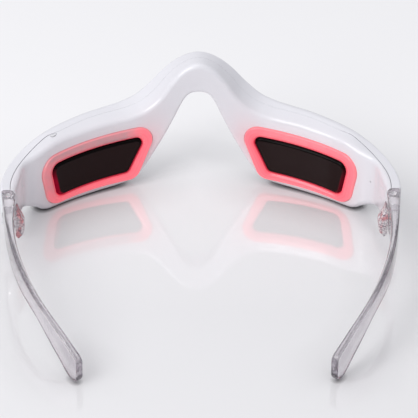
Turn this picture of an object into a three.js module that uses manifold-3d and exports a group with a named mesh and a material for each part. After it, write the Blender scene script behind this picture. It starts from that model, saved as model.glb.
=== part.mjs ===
// Light-therapy eye glasses: a white two-shell frame with two glowing light rings round dark
// windows on the wearer's side, and clear folding temples. Millimetres, +Z up. The wearer looks
// along +Y, the temples run back along -Y, and the part rests on its lobes and temple tips.
import * as THREE from 'three';
import { mergeVertices } from 'three/addons/utils/BufferGeometryUtils.js';
import Module from 'manifold-3d';

const wasm = await Module();
wasm.setup();

// Driving dimensions of the frame
const hingeHalfSpan = 73;
const wrapDepth = 48.5;
const facePower = 1.9;
const crownHeight = 55;
const bridgeDepth = 11.4;
const endDepth = 6;
const topFall = 4.6;
const wallThickness = 1.6;
const rearWall = 2.4;
const coverDepth = 3.8;
const footCut = 0.35;

// Fits that every piece shares
const fitGap = 0.3;
const cutOverrun = 3;

// Driving dimensions of the windows and light rings
const windowInnerReach = 21.6;
const windowOuterReach = 65;
const windowTop = 23;
const windowBottom = 5.6;
const windowTopFall = 2.7;
const windowBottomFall = 1.5;
const windowInnerLean = 7.6;
const windowOuterLean = 3.2;
const windowEdgeBevel = 1.7;
const windowThickness = 1.9;
const windowProud = 0.7;
const ringInnerBand = 5.7;
const ringOuterBand = 6.6;
const ringTopBand = 5.1;
const ringBottomBand = 3.6;
const ringBottomRise = 1.7;
const ringTopFall = 3.4;
const ringInnerLean = 9.6;
const ringOuterLean = 4.8;
const ringProud = 0.9;
const ringShoulder = 1.1;
const ringSeatDepth = 1.4;
const ringLedge = 1.2;
const ringLip = 0.9;
const lobeRim = 6.7;

// The light ring's crowned face, from its window to its outer edge, as shares of its width and
// of ringProud
const ringCrownShares = [{ across: 0.25, proud: 0.8 }, { across: 0.55, proud: 1 }];
const ringShoulderShare = 0.6;
const ringShoulderProudShare = 0.72;

// Driving dimensions of the temples and hinges
const templeThickness = 5.4;
const templeTop = 26;
const templeReach = 92.6;
const templeStraight = 15.4;
const templeBendRadius = 121;
const templeEdgeRadius = 1.5;
const tipLowRadius = 4.6;
const tipTopRadius = 1.6;
const tipNarrowing = 0.5;
const tipMiddleShare = 0.6;
const tongueHeight = 6.6;
const tongueThickness = 3.4;
const tongueTop = 22.4;
const rootDepth = 6;
const rootHeight = 10;
const pinRadius = 0.75;
const pinClearance = 0.1;
const pinHeadRadius = 1.2;
const pinHeadHeight = 0.8;
const pinHeadCrown = 0.3;
const pinHeadCrownShare = 0.75;
const blockThickness = 4.8;
const blockTopThickness = 1.4;
const blockLength = 6.4;
const blockTop = 24.6;
const blockShoulder = 20;
const blockBottom = 11.4;
const blockSetback = 4;
const blockBevel = 0.9;
const blockRadii = [0.3, 0.3, 0.5, 1.6, 2.4];
const blockCornerSteps = 3;
const screwRadius = 0.5;
const screwHeadRadius = 0.95;
const screwHeadHeight = 0.6;
const screwSpacing = 3;
const screwLift = 5.5;
const screwBite = 2;

// Driving dimensions of what the frame holds
const boardThickness = 0.8;
const ledSide = 2.6;
const ledHeight = 0.7;
const ledSideMargin = 8.6;
const ledTopMargin = 3.8;
const ledRows = 2;
const ledColumns = 3;
const batteryLength = 25;
const batteryThickness = 3;
const batteryMargin = 5.2;
const mainBoardLength = 19;
const mainBoardThickness = 0.8;
const mainBoardMargin = 2.7;
const portWidth = 8.9;
const portThickness = 3.2;
const portLength = 7;
const portWall = 0.4;
const portInset = 32.3;
const portRecess = 0.7;
const portCornerRadius = 1.1;
const nearlyRoundShare = 0.9;
const buttonInset = 24.8;
const buttonHeight = 20;
const buttonRadius = 3.3;
const buttonProud = 0.9;
const buttonTravel = 0.5;
const buttonFlange = 0.9;
const buttonFlangeThickness = 0.6;
const buttonFlangeGap = 0.5;
const buttonCrown = 0.35;
const buttonFaceShare = 0.86;
const switchSide = 4.5;
const switchHeight = 0.6;
const solderGap = 0.1;
const plungerRadius = 0.9;
const plungerHeight = 0.2;
const plungerGap = 0.1;
const cableThickness = 0.5;
const cableWidth = 3;
const lightPipeInset = 17.8;
const lightPipeLength = 2.4;
const lightPipeWidth = 1;
const lightPipeDepth = 2.6;
const lightPipeSetback = 1.6;
const lightPipeFallShare = 0.3;

// How finely the curves are cut
const curveSamples = 480;
const bisections = 40;
const stationsPerStep = 2;
const cornerSteps = 3;
const roundSteps = 16;
const screwSteps = 12;
const templeSteps = 22;
const templeEdgeSteps = [2, 1, 2, 1];
const templeCornerSteps = 2;

// The developed outline of half the frame, from the bridge to the hinge, as shares of its reach
// and of the crown height. Each row pairs a point on the top edge with one on the lower edge. It
// gives the share of topFall by which the wearer's side of the top edge lies lower, and the share
// of frontTopRadius that rounds its far side: full over the lobes, crisp at the nose and hinges.
// The lobe ends at lobeEndShare, just outside its light ring, and the hinge arm takes the rest.
const lobeEndShare = 0.82;
const outlineShares = [
  { top: [0, 1], low: [0, 0.767], fall: 0.1, round: 0.28 },
  { top: [0.065, 0.966], low: [0.038, 0.751], fall: 0.24, round: 0.28 },
  { top: [0.126, 0.886], low: [0.067, 0.687], fall: 0.55, round: 0.28 },
  { top: [0.19, 0.767], low: [0.102, 0.556], fall: 0.82, round: 0.28 },
  { top: [0.25, 0.693], low: [0.142, 0.415], fall: 0.96, round: 0.5 },
  { top: [0.31, 0.663], low: [0.184, 0.28], fall: 0.98, round: 0.7 },
  { top: [0.352, 0.656], low: [0.23, 0.145], fall: 0.96, round: 0.83 },
  { top: [0.399, 0.654], low: [0.28, 0.06], fall: 0.98, round: 0.95 },
  { top: [0.452, 0.651], low: [0.345, 0.022], fall: 1, round: 1 },
  { top: [0.535, 0.638], low: [0.5, 0], fall: 0.98, round: 1 },
  { top: [0.64, 0.6], low: [0.655, 0], fall: 0.56, round: 0.85 },
  { top: [0.69, 0.569], low: [0.71, 0.018], fall: 0.3, round: 0.6 },
  { top: [0.738, 0.542], low: [0.752, 0.07], fall: 0.16, round: 0.35 },
  { top: [0.795, 0.518], low: [0.805, 0.12], fall: 0.1, round: 0.28 },
  { top: [0.88, 0.495], low: [0.885, 0.152], fall: 0.08, round: 0.28 },
  { top: [1, 0.475], low: [1, 0.17], fall: 0.08, round: 0.28 },
];

// Where the wearer's side dips between each lobe and its hinge arm
const valleyDepth = 1.3;
const valleyWidthShare = 0.075;

// Corner radii of the frame's section, the wearer's side and the far side. The wearer's side is
// rounder under the lobes than round the nose arch.
const rearLobeRadius = 3;
const rearArchRadius = 1.3;
const rearTopRadius = 2.2;
const frontTopRadius = 2.9;
const frontLowRadius = 2.4;
const cavityCorner = 1;
const archHeight = 20;
const cornerRoomShare = 0.45;
const outerEdgeSteps = [3, 2, 3, 2];
const cavityEdgeSteps = [2, 1, 2, 1];

// The temple's thickness and its top and lower edges along its length, as shares of
// templeThickness and of templeTop
const templeProfileShares = [
  { along: 0, wide: 1, top: 1, low: 0.5 },
  { along: 0.12, wide: 0.79, top: 1.01, low: 0.54 },
  { along: 0.3, wide: 0.51, top: 1.015, low: 0.575 },
  { along: 0.5, wide: 0.455, top: 0.955, low: 0.57 },
  { along: 0.7, wide: 0.43, top: 0.825, low: 0.5 },
  { along: 0.85, wide: 0.47, top: 0.69, low: 0.25 },
  { along: 0.93, wide: 0.53, top: 0.565, low: 0.06 },
  { along: 1, wide: 0.6, top: 0.43, low: -0.066 },
];

// Face curve: half a superellipse in plan, measured along its length from the bridge
const faceTable = [];
for (let i = 0; i <= curveSamples; i += 1) {
  const turn = (i / curveSamples) * Math.PI / 2;
  const x = hingeHalfSpan * Math.sin(turn) ** (2 / facePower);
  const y = wrapDepth * (Math.max(0, Math.cos(turn)) ** (2 / facePower) - 1);
  const last = faceTable[i - 1];
  faceTable.push({ x, y, s: last ? last.s + Math.hypot(x - last.x, y - last.y) : 0 });
}
const halfLength = faceTable[curveSamples].s;

function faceAt(s) {
  const reach = Math.abs(s);
  const side = s < 0 ? -1 : 1;
  if (reach >= halfLength) {
    return { x: side * hingeHalfSpan, y: halfLength - reach - wrapDepth, nx: side, ny: 0 };
  }
  let low = 0;
  let high = curveSamples;
  while (high - low > 1) {
    const middle = (low + high) >> 1;
    if (faceTable[middle].s > reach) high = middle;
    else low = middle;
  }
  const a = faceTable[low];
  const b = faceTable[high];
  const share = (reach - a.s) / (b.s - a.s);
  const before = faceTable[Math.max(0, low - 1)];
  const after = faceTable[Math.min(curveSamples, high + 1)];
  const run = Math.hypot(after.x - before.x, after.y - before.y);
  const nx = low === 0 ? 0 : (before.y - after.y) / run;
  const ny = Math.sqrt(1 - nx * nx);
  return { x: side * (a.x + (b.x - a.x) * share), y: a.y + (b.y - a.y) * share, nx: side * nx, ny };
}

// A point given along the face, up, and forward of the wearer's side
function wrap(s, z, depth) {
  const at = faceAt(s);
  return new THREE.Vector3(at.x + depth * at.nx, at.y + depth * at.ny, z);
}

function frameDepth(s) {
  const share = Math.min(1, Math.abs(s) / halfLength);
  return bridgeDepth + (endDepth - bridgeDepth) * share * share;
}

// The light ring's reach follows its window, the lobe's reach follows the ring, and what the lobe
// carries stands back from its end
const ringInnerReach = windowInnerReach - ringInnerBand;
const ringOuterReach = windowOuterReach + ringOuterBand;
const ringTop = windowTop + ringTopBand;
const ringBottom = windowBottom - ringBottomBand;
const lobeReach = ringOuterReach + lobeRim;
const portReach = lobeReach - portInset;
const buttonReach = lobeReach - buttonInset;
const lightPipeReach = lobeReach - lightPipeInset;

function reachOf(share) {
  if (share <= lobeEndShare) return (share / lobeEndShare) * lobeReach;
  return lobeReach + ((share - lobeEndShare) / (1 - lobeEndShare)) * (halfLength - lobeReach);
}

function rearDepth(s) {
  const off = (Math.abs(s) - lobeReach) / (valleyWidthShare * halfLength);
  return valleyDepth * Math.exp(-off * off);
}

// The share of a curve at which it reaches a given first coordinate
function shareAt(curve, reach) {
  let low = 0;
  let high = 1;
  for (let i = 0; i < bisections; i += 1) {
    const middle = (low + high) / 2;
    if (curve.getPoint(middle).x < reach) low = middle;
    else high = middle;
  }
  return high;
}

// Meshes and booleans
function triangulated(rings, closed, caps) {
  const count = rings[0].length;
  const points = rings.flat();
  const faces = [];
  const bands = closed ? rings.length : rings.length - 1;
  for (let i = 0; i < bands; i += 1) {
    const next = (i + 1) % rings.length;
    for (let j = 0; j < count; j += 1) {
      const a = i * count + j;
      const b = i * count + ((j + 1) % count);
      const c = next * count + ((j + 1) % count);
      const d = next * count + j;
      faces.push(a, b, c, a, c, d);
    }
  }
  if (!closed) {
    const last = (rings.length - 1) * count;
    for (const [a, b, c] of caps(count)) faces.push(a, c, b, last + a, last + b, last + c);
  }
  const geometry = new THREE.BufferGeometry().setFromPoints(points);
  geometry.setIndex(faces);
  return geometry;
}

// End faces: a ladder across a ring whose two halves mirror each other
function ladderCaps(count) {
  const faces = [];
  for (let i = 0; i < count / 2; i += 1) {
    const a = i;
    const b = i + 1;
    const c = count - 1 - i;
    const d = (count - i) % count;
    if (b !== c) faces.push([a, b, c]);
    if (i > 0) faces.push([a, c, d]);
  }
  return faces;
}

// End faces: a fan from the first point, for sections that are convex
function fanCaps(count) {
  return Array.from({ length: count - 2 }, (_, i) => [0, i + 1, i + 2]);
}

function signedVolume(geometry) {
  const p = geometry.getAttribute('position');
  const index = geometry.getIndex();
  const [a, b, c] = [new THREE.Vector3(), new THREE.Vector3(), new THREE.Vector3()];
  let sum = 0;
  for (let i = 0; i < index.count; i += 3) {
    a.fromBufferAttribute(p, index.getX(i));
    b.fromBufferAttribute(p, index.getX(i + 1));
    c.fromBufferAttribute(p, index.getX(i + 2));
    sum += a.dot(b.cross(c)) / 6;
  }
  return sum;
}

function toSolid(geometry) {
  const bare = geometry.clone();
  for (const name of Object.keys(bare.attributes)) if (name !== 'position') bare.deleteAttribute(name);
  const merged = mergeVertices(bare, 1e-5);
  const index = Uint32Array.from(merged.getIndex().array);
  if (signedVolume(merged) < 0) {
    for (let i = 0; i < index.length; i += 3) [index[i], index[i + 1]] = [index[i + 1], index[i]];
  }
  const vertProperties = Float32Array.from(merged.getAttribute('position').array);
  return new wasm.Manifold(new wasm.Mesh({ numProp: 3, vertProperties, triVerts: index }));
}

function toGeometry(solid) {
  const mesh = solid.getMesh();
  const geometry = new THREE.BufferGeometry();
  geometry.setAttribute('position', new THREE.BufferAttribute(mesh.vertProperties, mesh.numProp));
  geometry.setIndex(new THREE.BufferAttribute(mesh.triVerts, 1));
  geometry.computeVertexNormals();
  return geometry;
}

function loft(rings, caps = fanCaps) {
  return toSolid(triangulated(rings, false, caps));
}

function loop(rings) {
  return toSolid(triangulated(rings, true));
}

function box(x0, x1, y0, y1, z0, z1) {
  const geometry = new THREE.BoxGeometry(x1 - x0, y1 - y0, z1 - z0);
  return toSolid(geometry.translate((x0 + x1) / 2, (y0 + y1) / 2, (z0 + z1) / 2));
}

// A turned solid about a vertical axis, from [radius, height] pairs that start and end on it
function turned(profile, steps = roundSteps) {
  const points = profile.map(([r, z]) => new THREE.Vector2(r, z));
  return new THREE.LatheGeometry(points, steps).rotateX(Math.PI / 2);
}

function rod(radius, z0, z1, steps = roundSteps) {
  return turned([[0, z0], [radius, z0], [radius, z1], [0, z1]], steps);
}

// A closed outline with rounded corners, from corners in order, with the edges cut in steps
function rounded(corners, radii, edgeSteps, steps = cornerSteps) {
  const points = [];
  const count = corners.length;
  corners.forEach((corner, i) => {
    const before = corners[(i + count - 1) % count];
    const after = corners[(i + 1) % count];
    const inDir = new THREE.Vector2(corner[0] - before[0], corner[1] - before[1]).normalize();
    const outDir = new THREE.Vector2(after[0] - corner[0], after[1] - corner[1]).normalize();
    const half = Math.acos(THREE.MathUtils.clamp(inDir.dot(outDir), -1, 1)) / 2;
    const tangent = radii[i] * Math.tan(half);
    const start = new THREE.Vector2(...corner).addScaledVector(inDir, -tangent);
    const end = new THREE.Vector2(...corner).addScaledVector(outDir, tangent);
    const bisector = outDir.clone().sub(inDir).normalize();
    const centre = new THREE.Vector2(...corner).addScaledVector(bisector, radii[i] / Math.cos(half));
    const from = start.clone().sub(centre);
    const turn = Math.sign(inDir.cross(outDir)) * 2 * half;
    for (let k = 0; k <= steps; k += 1) {
      const p = from.clone().rotateAround(new THREE.Vector2(), (turn * k) / steps).add(centre);
      points.push([p.x, p.y]);
    }
    points.push({ edge: i, from: end });
  });
  return points.flatMap((p, i) => {
    if (Array.isArray(p)) return [p];
    const next = points[(i + 1) % points.length];
    const cuts = edgeSteps[p.edge];
    return Array.from({ length: cuts - 1 }, (_, k) => {
      const share = (k + 1) / cuts;
      return [p.from.x + (next[0] - p.from.x) * share, p.from.y + (next[1] - p.from.y) * share];
    });
  });
}

// Moves each edge of a convex outline outward by one distance
function offsetCorners(corners, distance) {
  const count = corners.length;
  const area = corners.reduce((sum, [x, y], i) => {
    const [nx, ny] = corners[(i + 1) % count];
    return sum + x * ny - nx * y;
  }, 0);
  const edges = corners.map(([x, y], i) => {
    const [nx, ny] = corners[(i + 1) % count];
    const run = Math.hypot(nx - x, ny - y) * Math.sign(area);
    const out = [(ny - y) / run, (x - nx) / run];
    return { out, level: out[0] * x + out[1] * y + distance };
  });
  return edges.map((edge, i) => {
    const last = edges[(i + count - 1) % count];
    const det = last.out[0] * edge.out[1] - last.out[1] * edge.out[0];
    return [
      (last.level * edge.out[1] - last.out[1] * edge.level) / det,
      (last.out[0] * edge.level - last.level * edge.out[0]) / det,
    ];
  });
}

// The frame's outer form and the hollow inside it
const outlineRows = outlineShares.map(({ top, low, fall, round }) => ({
  top: new THREE.Vector2(reachOf(top[0]), top[1] * crownHeight),
  low: new THREE.Vector2(reachOf(low[0]), low[1] * crownHeight - footCut),
  edge: new THREE.Vector2(fall * topFall, round * frontTopRadius),
}));

function wholeCurve(key) {
  const half = outlineRows.map((row) => row[key]);
  const mirrored = half.slice(1).reverse().map((p) => new THREE.Vector2(key === 'edge' ? p.x : -p.x, p.y));
  return new THREE.SplineCurve([...mirrored, ...half]);
}

const topCurve = wholeCurve('top');
const lowCurve = wholeCurve('low');
const edgeCurve = wholeCurve('edge');
const stationCount = (outlineShares.length - 1) * 2 * stationsPerStep;

function stationAt(share) {
  const edge = edgeCurve.getPoint(share);
  return {
    top: topCurve.getPoint(share), low: lowCurve.getPoint(share), fall: edge.x, round: edge.y,
  };
}

function sectionRing(station, inset) {
  const { top, low, fall, round } = station;
  const rise = top.distanceTo(low);
  const middle = (top.x + low.x) / 2;
  const rear = inset ? rearWall : 0;
  const front = frameDepth(middle) - (inset ? wallThickness : 0);
  const edge = inset ? wallThickness : 0;
  const corners = [[edge, rear], [rise - fall - edge, rear], [rise - edge, front], [edge, front]];
  const room = Math.min(front - rear, rise - fall - 2 * edge) * cornerRoomShare;
  const overArch = Math.min(1, low.y / archHeight);
  const rearLowRadius = THREE.MathUtils.lerp(rearLobeRadius, rearArchRadius, overArch);
  const radii = inset
    ? corners.map(() => Math.min(cavityCorner, room))
    : [rearLowRadius, rearTopRadius, round, frontLowRadius].map((r) => Math.min(r, room));
  const steps = inset ? cavityEdgeSteps : outerEdgeSteps;
  const outline = rounded(corners, radii, steps, inset ? 1 : cornerSteps);
  return outline.map(([up, depth]) => {
    const share = up / rise;
    const s = low.x + (top.x - low.x) * share;
    const z = low.y + (top.y - low.y) * share;
    const towardFront = (depth - rear) / (front - rear);
    const own = frameDepth(s) - frameDepth(middle);
    return wrap(s, z, depth + own * towardFront + rearDepth(s) * (1 - towardFront));
  });
}

const cavityEndShare = 0.13;
const outerRings = [];
const cavityRings = [];
for (let i = 0; i <= stationCount; i += 1) {
  const share = i / stationCount;
  outerRings.push(sectionRing(stationAt(share), false));
  if (share > cavityEndShare && share < 1 - cavityEndShare) {
    cavityRings.push(sectionRing(stationAt(share), true));
  }
}
const outerForm = loft(outerRings);
const cavity = loft(cavityRings);

// A slab that follows the face curve, between two depths given along it
function faceSlab(nearDepth, farDepth) {
  const reach = halfLength + cutOverrun;
  const rings = [];
  for (let i = 0; i <= stationCount; i += 1) {
    const s = (i / stationCount) * 2 * reach - reach;
    const corners = [[-cutOverrun, nearDepth], [crownHeight + cutOverrun, nearDepth],
      [crownHeight + cutOverrun, farDepth], [-cutOverrun, farDepth]];
    rings.push(corners.map(([z, depth]) => wrap(s, z, depth(s))));
  }
  return loft(rings);
}

const seamDepth = (s) => frameDepth(s) - coverDepth;
const rearSlab = faceSlab(() => -cutOverrun, (s) => seamDepth(s) - fitGap / 2);
const frontSlab = faceSlab((s) => seamDepth(s) + fitGap / 2, (s) => frameDepth(s) + cutOverrun);
const overFloor = box(
  -2 * hingeHalfSpan, 2 * hingeHalfSpan, -2 * wrapDepth, 2 * wrapDepth, 0, 2 * crownHeight,
);

// Windows and light rings, drawn on the developed face as four corners each: outer low, inner
// low, inner top and outer top. Every ring of points starts at the middle of the outer edge.
const windowCorners = [
  [windowOuterReach - windowOuterLean, windowBottom - windowBottomFall / 2],
  [windowInnerReach + windowInnerLean, windowBottom + windowBottomFall],
  [windowInnerReach, windowTop],
  [windowOuterReach, windowTop - windowTopFall],
];
const windowRadii = [3.4, 2.6, 2.6, 3.6];
const ringCorners = [
  [ringOuterReach - ringOuterLean, ringBottom],
  [ringInnerReach + ringInnerLean, ringBottom + ringBottomRise],
  [ringInnerReach, ringTop],
  [ringOuterReach, ringTop - ringTopFall],
];
const ringRadii = [7, 5.4, 6, 7.4];
const outlineSteps = [6, 2, 6, 2];

function outline(corners, radii, distance) {
  const grown = radii.map((r) => Math.max(fitGap, r + distance));
  const points = rounded(offsetCorners(corners, distance), grown, outlineSteps);
  return [...points.slice(-1), ...points.slice(0, -1)];
}

const windowLine = (distance) => outline(windowCorners, windowRadii, distance);
const ringLine = (distance) => outline(ringCorners, ringRadii, distance);
const between = (a, b, share) => a.map(([s, z], i) => (
  [s + (b[i][0] - s) * share, z + (b[i][1] - z) * share]
));
const wrapped = (line, side, depth) => line.map(([s, z]) => wrap(side * s, z, depth));

function lightRing(side) {
  const base = rearWall;
  const levels = [
    [windowLine(fitGap), 0],
    ...ringCrownShares.map(({ across, proud }) => (
      [between(windowLine(fitGap), ringLine(0), across), -ringProud * proud]
    )),
    [ringLine(-ringShoulder * ringShoulderShare), -ringProud * ringShoulderProudShare],
    [ringLine(0), 0],
    [ringLine(0), ringSeatDepth - fitGap],
    [ringLine(-ringLedge), ringSeatDepth - fitGap],
    [ringLine(-ringLedge), base],
    [windowLine(-ringLip), base],
    [windowLine(-ringLip), windowThickness - windowProud + fitGap],
    [windowLine(fitGap), windowThickness - windowProud + fitGap],
  ];
  return loop(levels.map(([line, depth]) => wrapped(line, side, depth)));
}

function windowLens(side) {
  const rings = [
    wrapped(windowLine(-windowEdgeBevel), side, -windowProud),
    wrapped(windowLine(0), side, fitGap),
    wrapped(windowLine(0), side, windowThickness - windowProud),
  ];
  return loft(rings, ladderCaps);
}

function facePrism(line, side, near, far) {
  return loft([wrapped(line, side, near), wrapped(line, side, far)], ladderCaps);
}

// Light boards behind the windows, with their light emitters
const boardNear = rearWall + fitGap;
const boardFar = boardNear + boardThickness;
const ledFar = boardNear - fitGap / 2;

function ledBoard(side) {
  return facePrism(ringLine(-ringShoulder / 2), side, boardNear, boardFar);
}

// What the rear housing opens for a light ring and its board: seat, light way and board pocket
function ringSeat(side) {
  const recess = facePrism(ringLine(fitGap), side, -cutOverrun, ringSeatDepth);
  const through = facePrism(ringLine(fitGap - ringLedge), side, 0, rearWall + fitGap);
  const pocket = facePrism(ringLine(fitGap - ringShoulder / 2), side, rearWall, boardFar + fitGap);
  return recess.add(through).add(pocket);
}

// The emitters stand in rows and columns spread over the window at its mean width and height
const ledFrom = [windowInnerReach + windowInnerLean / 2 + ledSideMargin, windowBottom + ledTopMargin];
const ledTo = [
  windowOuterReach - windowOuterLean / 2 - ledSideMargin,
  windowTop - windowTopFall / 2 - ledTopMargin,
];

function lightEmitter(side, index) {
  const column = index % ledColumns;
  const row = Math.floor(index / ledColumns);
  const s = THREE.MathUtils.lerp(ledFrom[0], ledTo[0], column / (ledColumns - 1));
  const z = THREE.MathUtils.lerp(ledFrom[1], ledTo[1], row / (ledRows - 1));
  const half = ledSide / 2;
  const line = [[s + half, z - half], [s - half, z - half], [s - half, z + half], [s + half, z + half]];
  return loft([wrapped(line, side, ledFar - ledHeight), wrapped(line, side, ledFar)]);
}

// A flat piece set square to the face: its length runs along the face, its height up
function placedAcross(geometry, s, z, depth) {
  const at = faceAt(s);
  const where = wrap(s, z, depth);
  return geometry.rotateZ(Math.atan2(-at.nx, at.ny)).translate(where.x, where.y, where.z);
}

function flatPiece(length, height, thickness, s, z, depth) {
  const geometry = new THREE.BoxGeometry(length, thickness, height).translate(0, thickness / 2, 0);
  return toSolid(placedAcross(geometry, s, z, depth));
}

// The lowest and highest level of the hollow at a given reach
const halfCurve = (key) => new THREE.SplineCurve(outlineRows.map((row) => row[key]));
const halfTop = halfCurve('top');
const halfLow = halfCurve('low');
const levelOf = (curve, reach) => curve.getPoint(shareAt(curve, reach)).y;
const hollowTop = (reach) => levelOf(halfTop, reach) - topFall - wallThickness;
const hollowLow = (reach) => levelOf(halfLow, reach) + wallThickness;

// The battery fills the left lobe behind its light board
const innerNear = boardFar + fitGap;
const batteryReach = (ringInnerReach + ringOuterReach) / 2;
const batteryLow = hollowLow(batteryReach) + batteryMargin;
const batteryHigh = hollowTop(batteryReach) - batteryMargin;
const battery = flatPiece(
  batteryLength, batteryHigh - batteryLow, batteryThickness,
  -batteryReach, (batteryLow + batteryHigh) / 2, innerNear,
);

// Charging inlet: a rounded metal shell that opens downward through the lobe's underside
const portDepth = innerNear + portThickness / 2;
const portCentre = wrap(portReach, 0, portDepth);
const portAngle = Math.atan2(-faceAt(portReach).nx, faceAt(portReach).ny);

function portPrism(grow, z0, z1) {
  const halfWidth = portWidth / 2 + grow;
  const halfThick = portThickness / 2 + grow;
  const corners = [[halfWidth, -halfThick], [-halfWidth, -halfThick], [-halfWidth, halfThick],
    [halfWidth, halfThick]];
  const radius = Math.min(portCornerRadius, halfThick * nearlyRoundShare);
  const line = rounded(corners, corners.map(() => radius), [1, 1, 1, 1]);
  const rings = [z0, z1].map((z) => line.map(([x, y]) => {
    const p = new THREE.Vector2(x, y).rotateAround(new THREE.Vector2(), portAngle);
    return new THREE.Vector3(portCentre.x + p.x, portCentre.y + p.y, z);
  }));
  return loft(rings);
}

const portTongueShare = 0.62;
const portTongueThickness = 0.7;
const portShell = portPrism(0, portRecess, portRecess + portLength)
  .subtract(portPrism(-portWall, portRecess - cutOverrun, portRecess + portLength - portWall));
const portTongue = toSolid(
  new THREE.BoxGeometry(portWidth * portTongueShare, portTongueThickness, portLength - 2 * portWall)
    .translate(0, 0, portRecess + portLength / 2 + portWall)
    .rotateZ(portAngle).translate(portCentre.x, portCentre.y, 0),
);
const chargePort = portShell.add(portTongue);

// Power button on the front cover, with its switch on the main board behind it
const buttonFace = frameDepth(buttonReach);
const coverInner = buttonFace - wallThickness;
const flangeFar = coverInner - buttonFlangeGap;
const flangeNear = flangeFar - buttonFlangeThickness;

function alongFace(geometry, s, z, depth) {
  return placedAcross(geometry.rotateX(-Math.PI / 2), s, z, depth);
}

const buttonSolid = toSolid(alongFace(turned([
  [0, flangeNear - buttonFace],
  [buttonRadius + buttonFlange, flangeNear - buttonFace],
  [buttonRadius + buttonFlange, flangeFar - buttonFace],
  [buttonRadius, flangeFar - buttonFace],
  [buttonRadius, buttonProud - buttonCrown],
  [buttonRadius * buttonFaceShare, buttonProud],
  [0, buttonProud - buttonCrown],
]), buttonReach, buttonHeight, buttonFace));
const buttonHole = toSolid(alongFace(
  rod(buttonRadius + fitGap, -bridgeDepth / 2, cutOverrun), buttonReach, buttonHeight, buttonFace,
));
const switchNear = flangeNear - buttonTravel - plungerGap - plungerHeight - switchHeight;
const tactSwitch = flatPiece(
  switchSide, switchSide, switchHeight, buttonReach, buttonHeight, switchNear,
).add(toSolid(alongFace(
  rod(plungerRadius, -fitGap, plungerHeight), buttonReach, buttonHeight, switchNear + switchHeight,
)));

// The main board carries the switch in the right lobe, over the charging inlet
const mainBoardLow = portRecess + portLength + mainBoardMargin;
const mainBoardHigh = hollowTop(buttonReach) - mainBoardMargin;
const mainBoard = flatPiece(
  mainBoardLength, mainBoardHigh - mainBoardLow, mainBoardThickness,
  buttonReach, (mainBoardLow + mainBoardHigh) / 2, switchNear - solderGap - mainBoardThickness,
);

// Flat cable that joins the two lobes over the bridge, inside the hollow
const cableEndShare = 0.27;
const cableRings = [];
for (let i = 0; i <= stationCount; i += 1) {
  const share = i / stationCount;
  if (share >= cableEndShare && share <= 1 - cableEndShare) {
    const { top, low } = stationAt(share);
    const up = top.clone().sub(low).normalize();
    const middle = top.clone().add(low).multiplyScalar(0.5);
    const near = boardFar + fitGap;
    const line = [[-1, near], [1, near], [1, near + cableWidth], [-1, near + cableWidth]];
    cableRings.push(line.map(([way, depth]) => wrap(
      middle.x + up.x * way * cableThickness / 2, middle.y + up.y * way * cableThickness / 2, depth,
    )));
  }
}
const bridgeCable = loft(cableRings);

// Status light pipe in the top of the frame, at the end of the seam line
const pipeDepth = seamDepth(lightPipeReach) - lightPipeSetback;
const pipeTop = levelOf(halfTop, lightPipeReach) - topFall * lightPipeFallShare;

function pipePrism(grow, z0, z1) {
  const s0 = -lightPipeReach;
  const halfLong = lightPipeLength / 2 + grow;
  const halfWide = lightPipeWidth / 2 + grow;
  const corners = [[halfLong, -halfWide], [-halfLong, -halfWide], [-halfLong, halfWide],
    [halfLong, halfWide]];
  const line = rounded(corners, corners.map(() => halfWide * nearlyRoundShare), [1, 1, 1, 1]);
  return loft([z0, z1].map((z) => line.map(([s, d]) => wrap(s0 + s, z, pipeDepth + d))));
}

const lightPipe = pipePrism(0, pipeTop - lightPipeDepth, pipeTop);
const pipeHole = pipePrism(fitGap, pipeTop - lightPipeDepth * 2, pipeTop + cutOverrun);

// Hinges: a tongue on the rear housing runs between two ears of the clear temple
const frameEnd = -wrapDepth;
const hingeX = hingeHalfSpan + endDepth / 2;
const templeFront = templeThickness / 2;
const hingeY = frameEnd - fitGap - templeFront;
const tongueBottom = tongueTop - tongueHeight;
const pinHoleRadius = pinRadius + pinClearance;

function tongue(side, grow) {
  const half = tongueThickness / 2 + grow;
  const stem = box(
    side * hingeX - half, side * hingeX + half, hingeY, frameEnd + cutOverrun,
    tongueBottom - grow, tongueTop + grow,
  );
  const round = rod(half, tongueBottom - grow, tongueTop + grow);
  return stem.add(toSolid(round.translate(side * hingeX, hingeY, 0)));
}

function hingeRoot(side, grow) {
  const inner = hingeHalfSpan + wallThickness / 2 - grow;
  const outer = hingeX + tongueThickness / 2 + grow;
  const middle = (tongueTop + tongueBottom) / 2;
  return box(
    Math.min(side * inner, side * outer), Math.max(side * inner, side * outer),
    frameEnd, frameEnd + rootDepth + grow,
    middle - rootHeight / 2 - grow, middle + rootHeight / 2 + grow,
  );
}

let rearHousing = outerForm.intersect(rearSlab).intersect(overFloor).subtract(cavity);
let frontCover = outerForm.intersect(frontSlab).intersect(overFloor).subtract(cavity);
for (const side of [-1, 1]) {
  const pinHole = rod(pinHoleRadius, tongueBottom - cutOverrun, tongueTop + cutOverrun);
  rearHousing = rearHousing.subtract(ringSeat(side)).add(hingeRoot(side, 0)).add(tongue(side, 0))
    .subtract(toSolid(pinHole.translate(side * hingeX, hingeY, 0)));
  frontCover = frontCover.subtract(hingeRoot(side, fitGap)).subtract(tongue(side, fitGap));
}
const portHole = portPrism(fitGap, -cutOverrun, rearWall + wallThickness);
rearHousing = rearHousing.subtract(portHole).subtract(pipeHole);
frontCover = frontCover.subtract(portHole).subtract(buttonHole);

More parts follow.
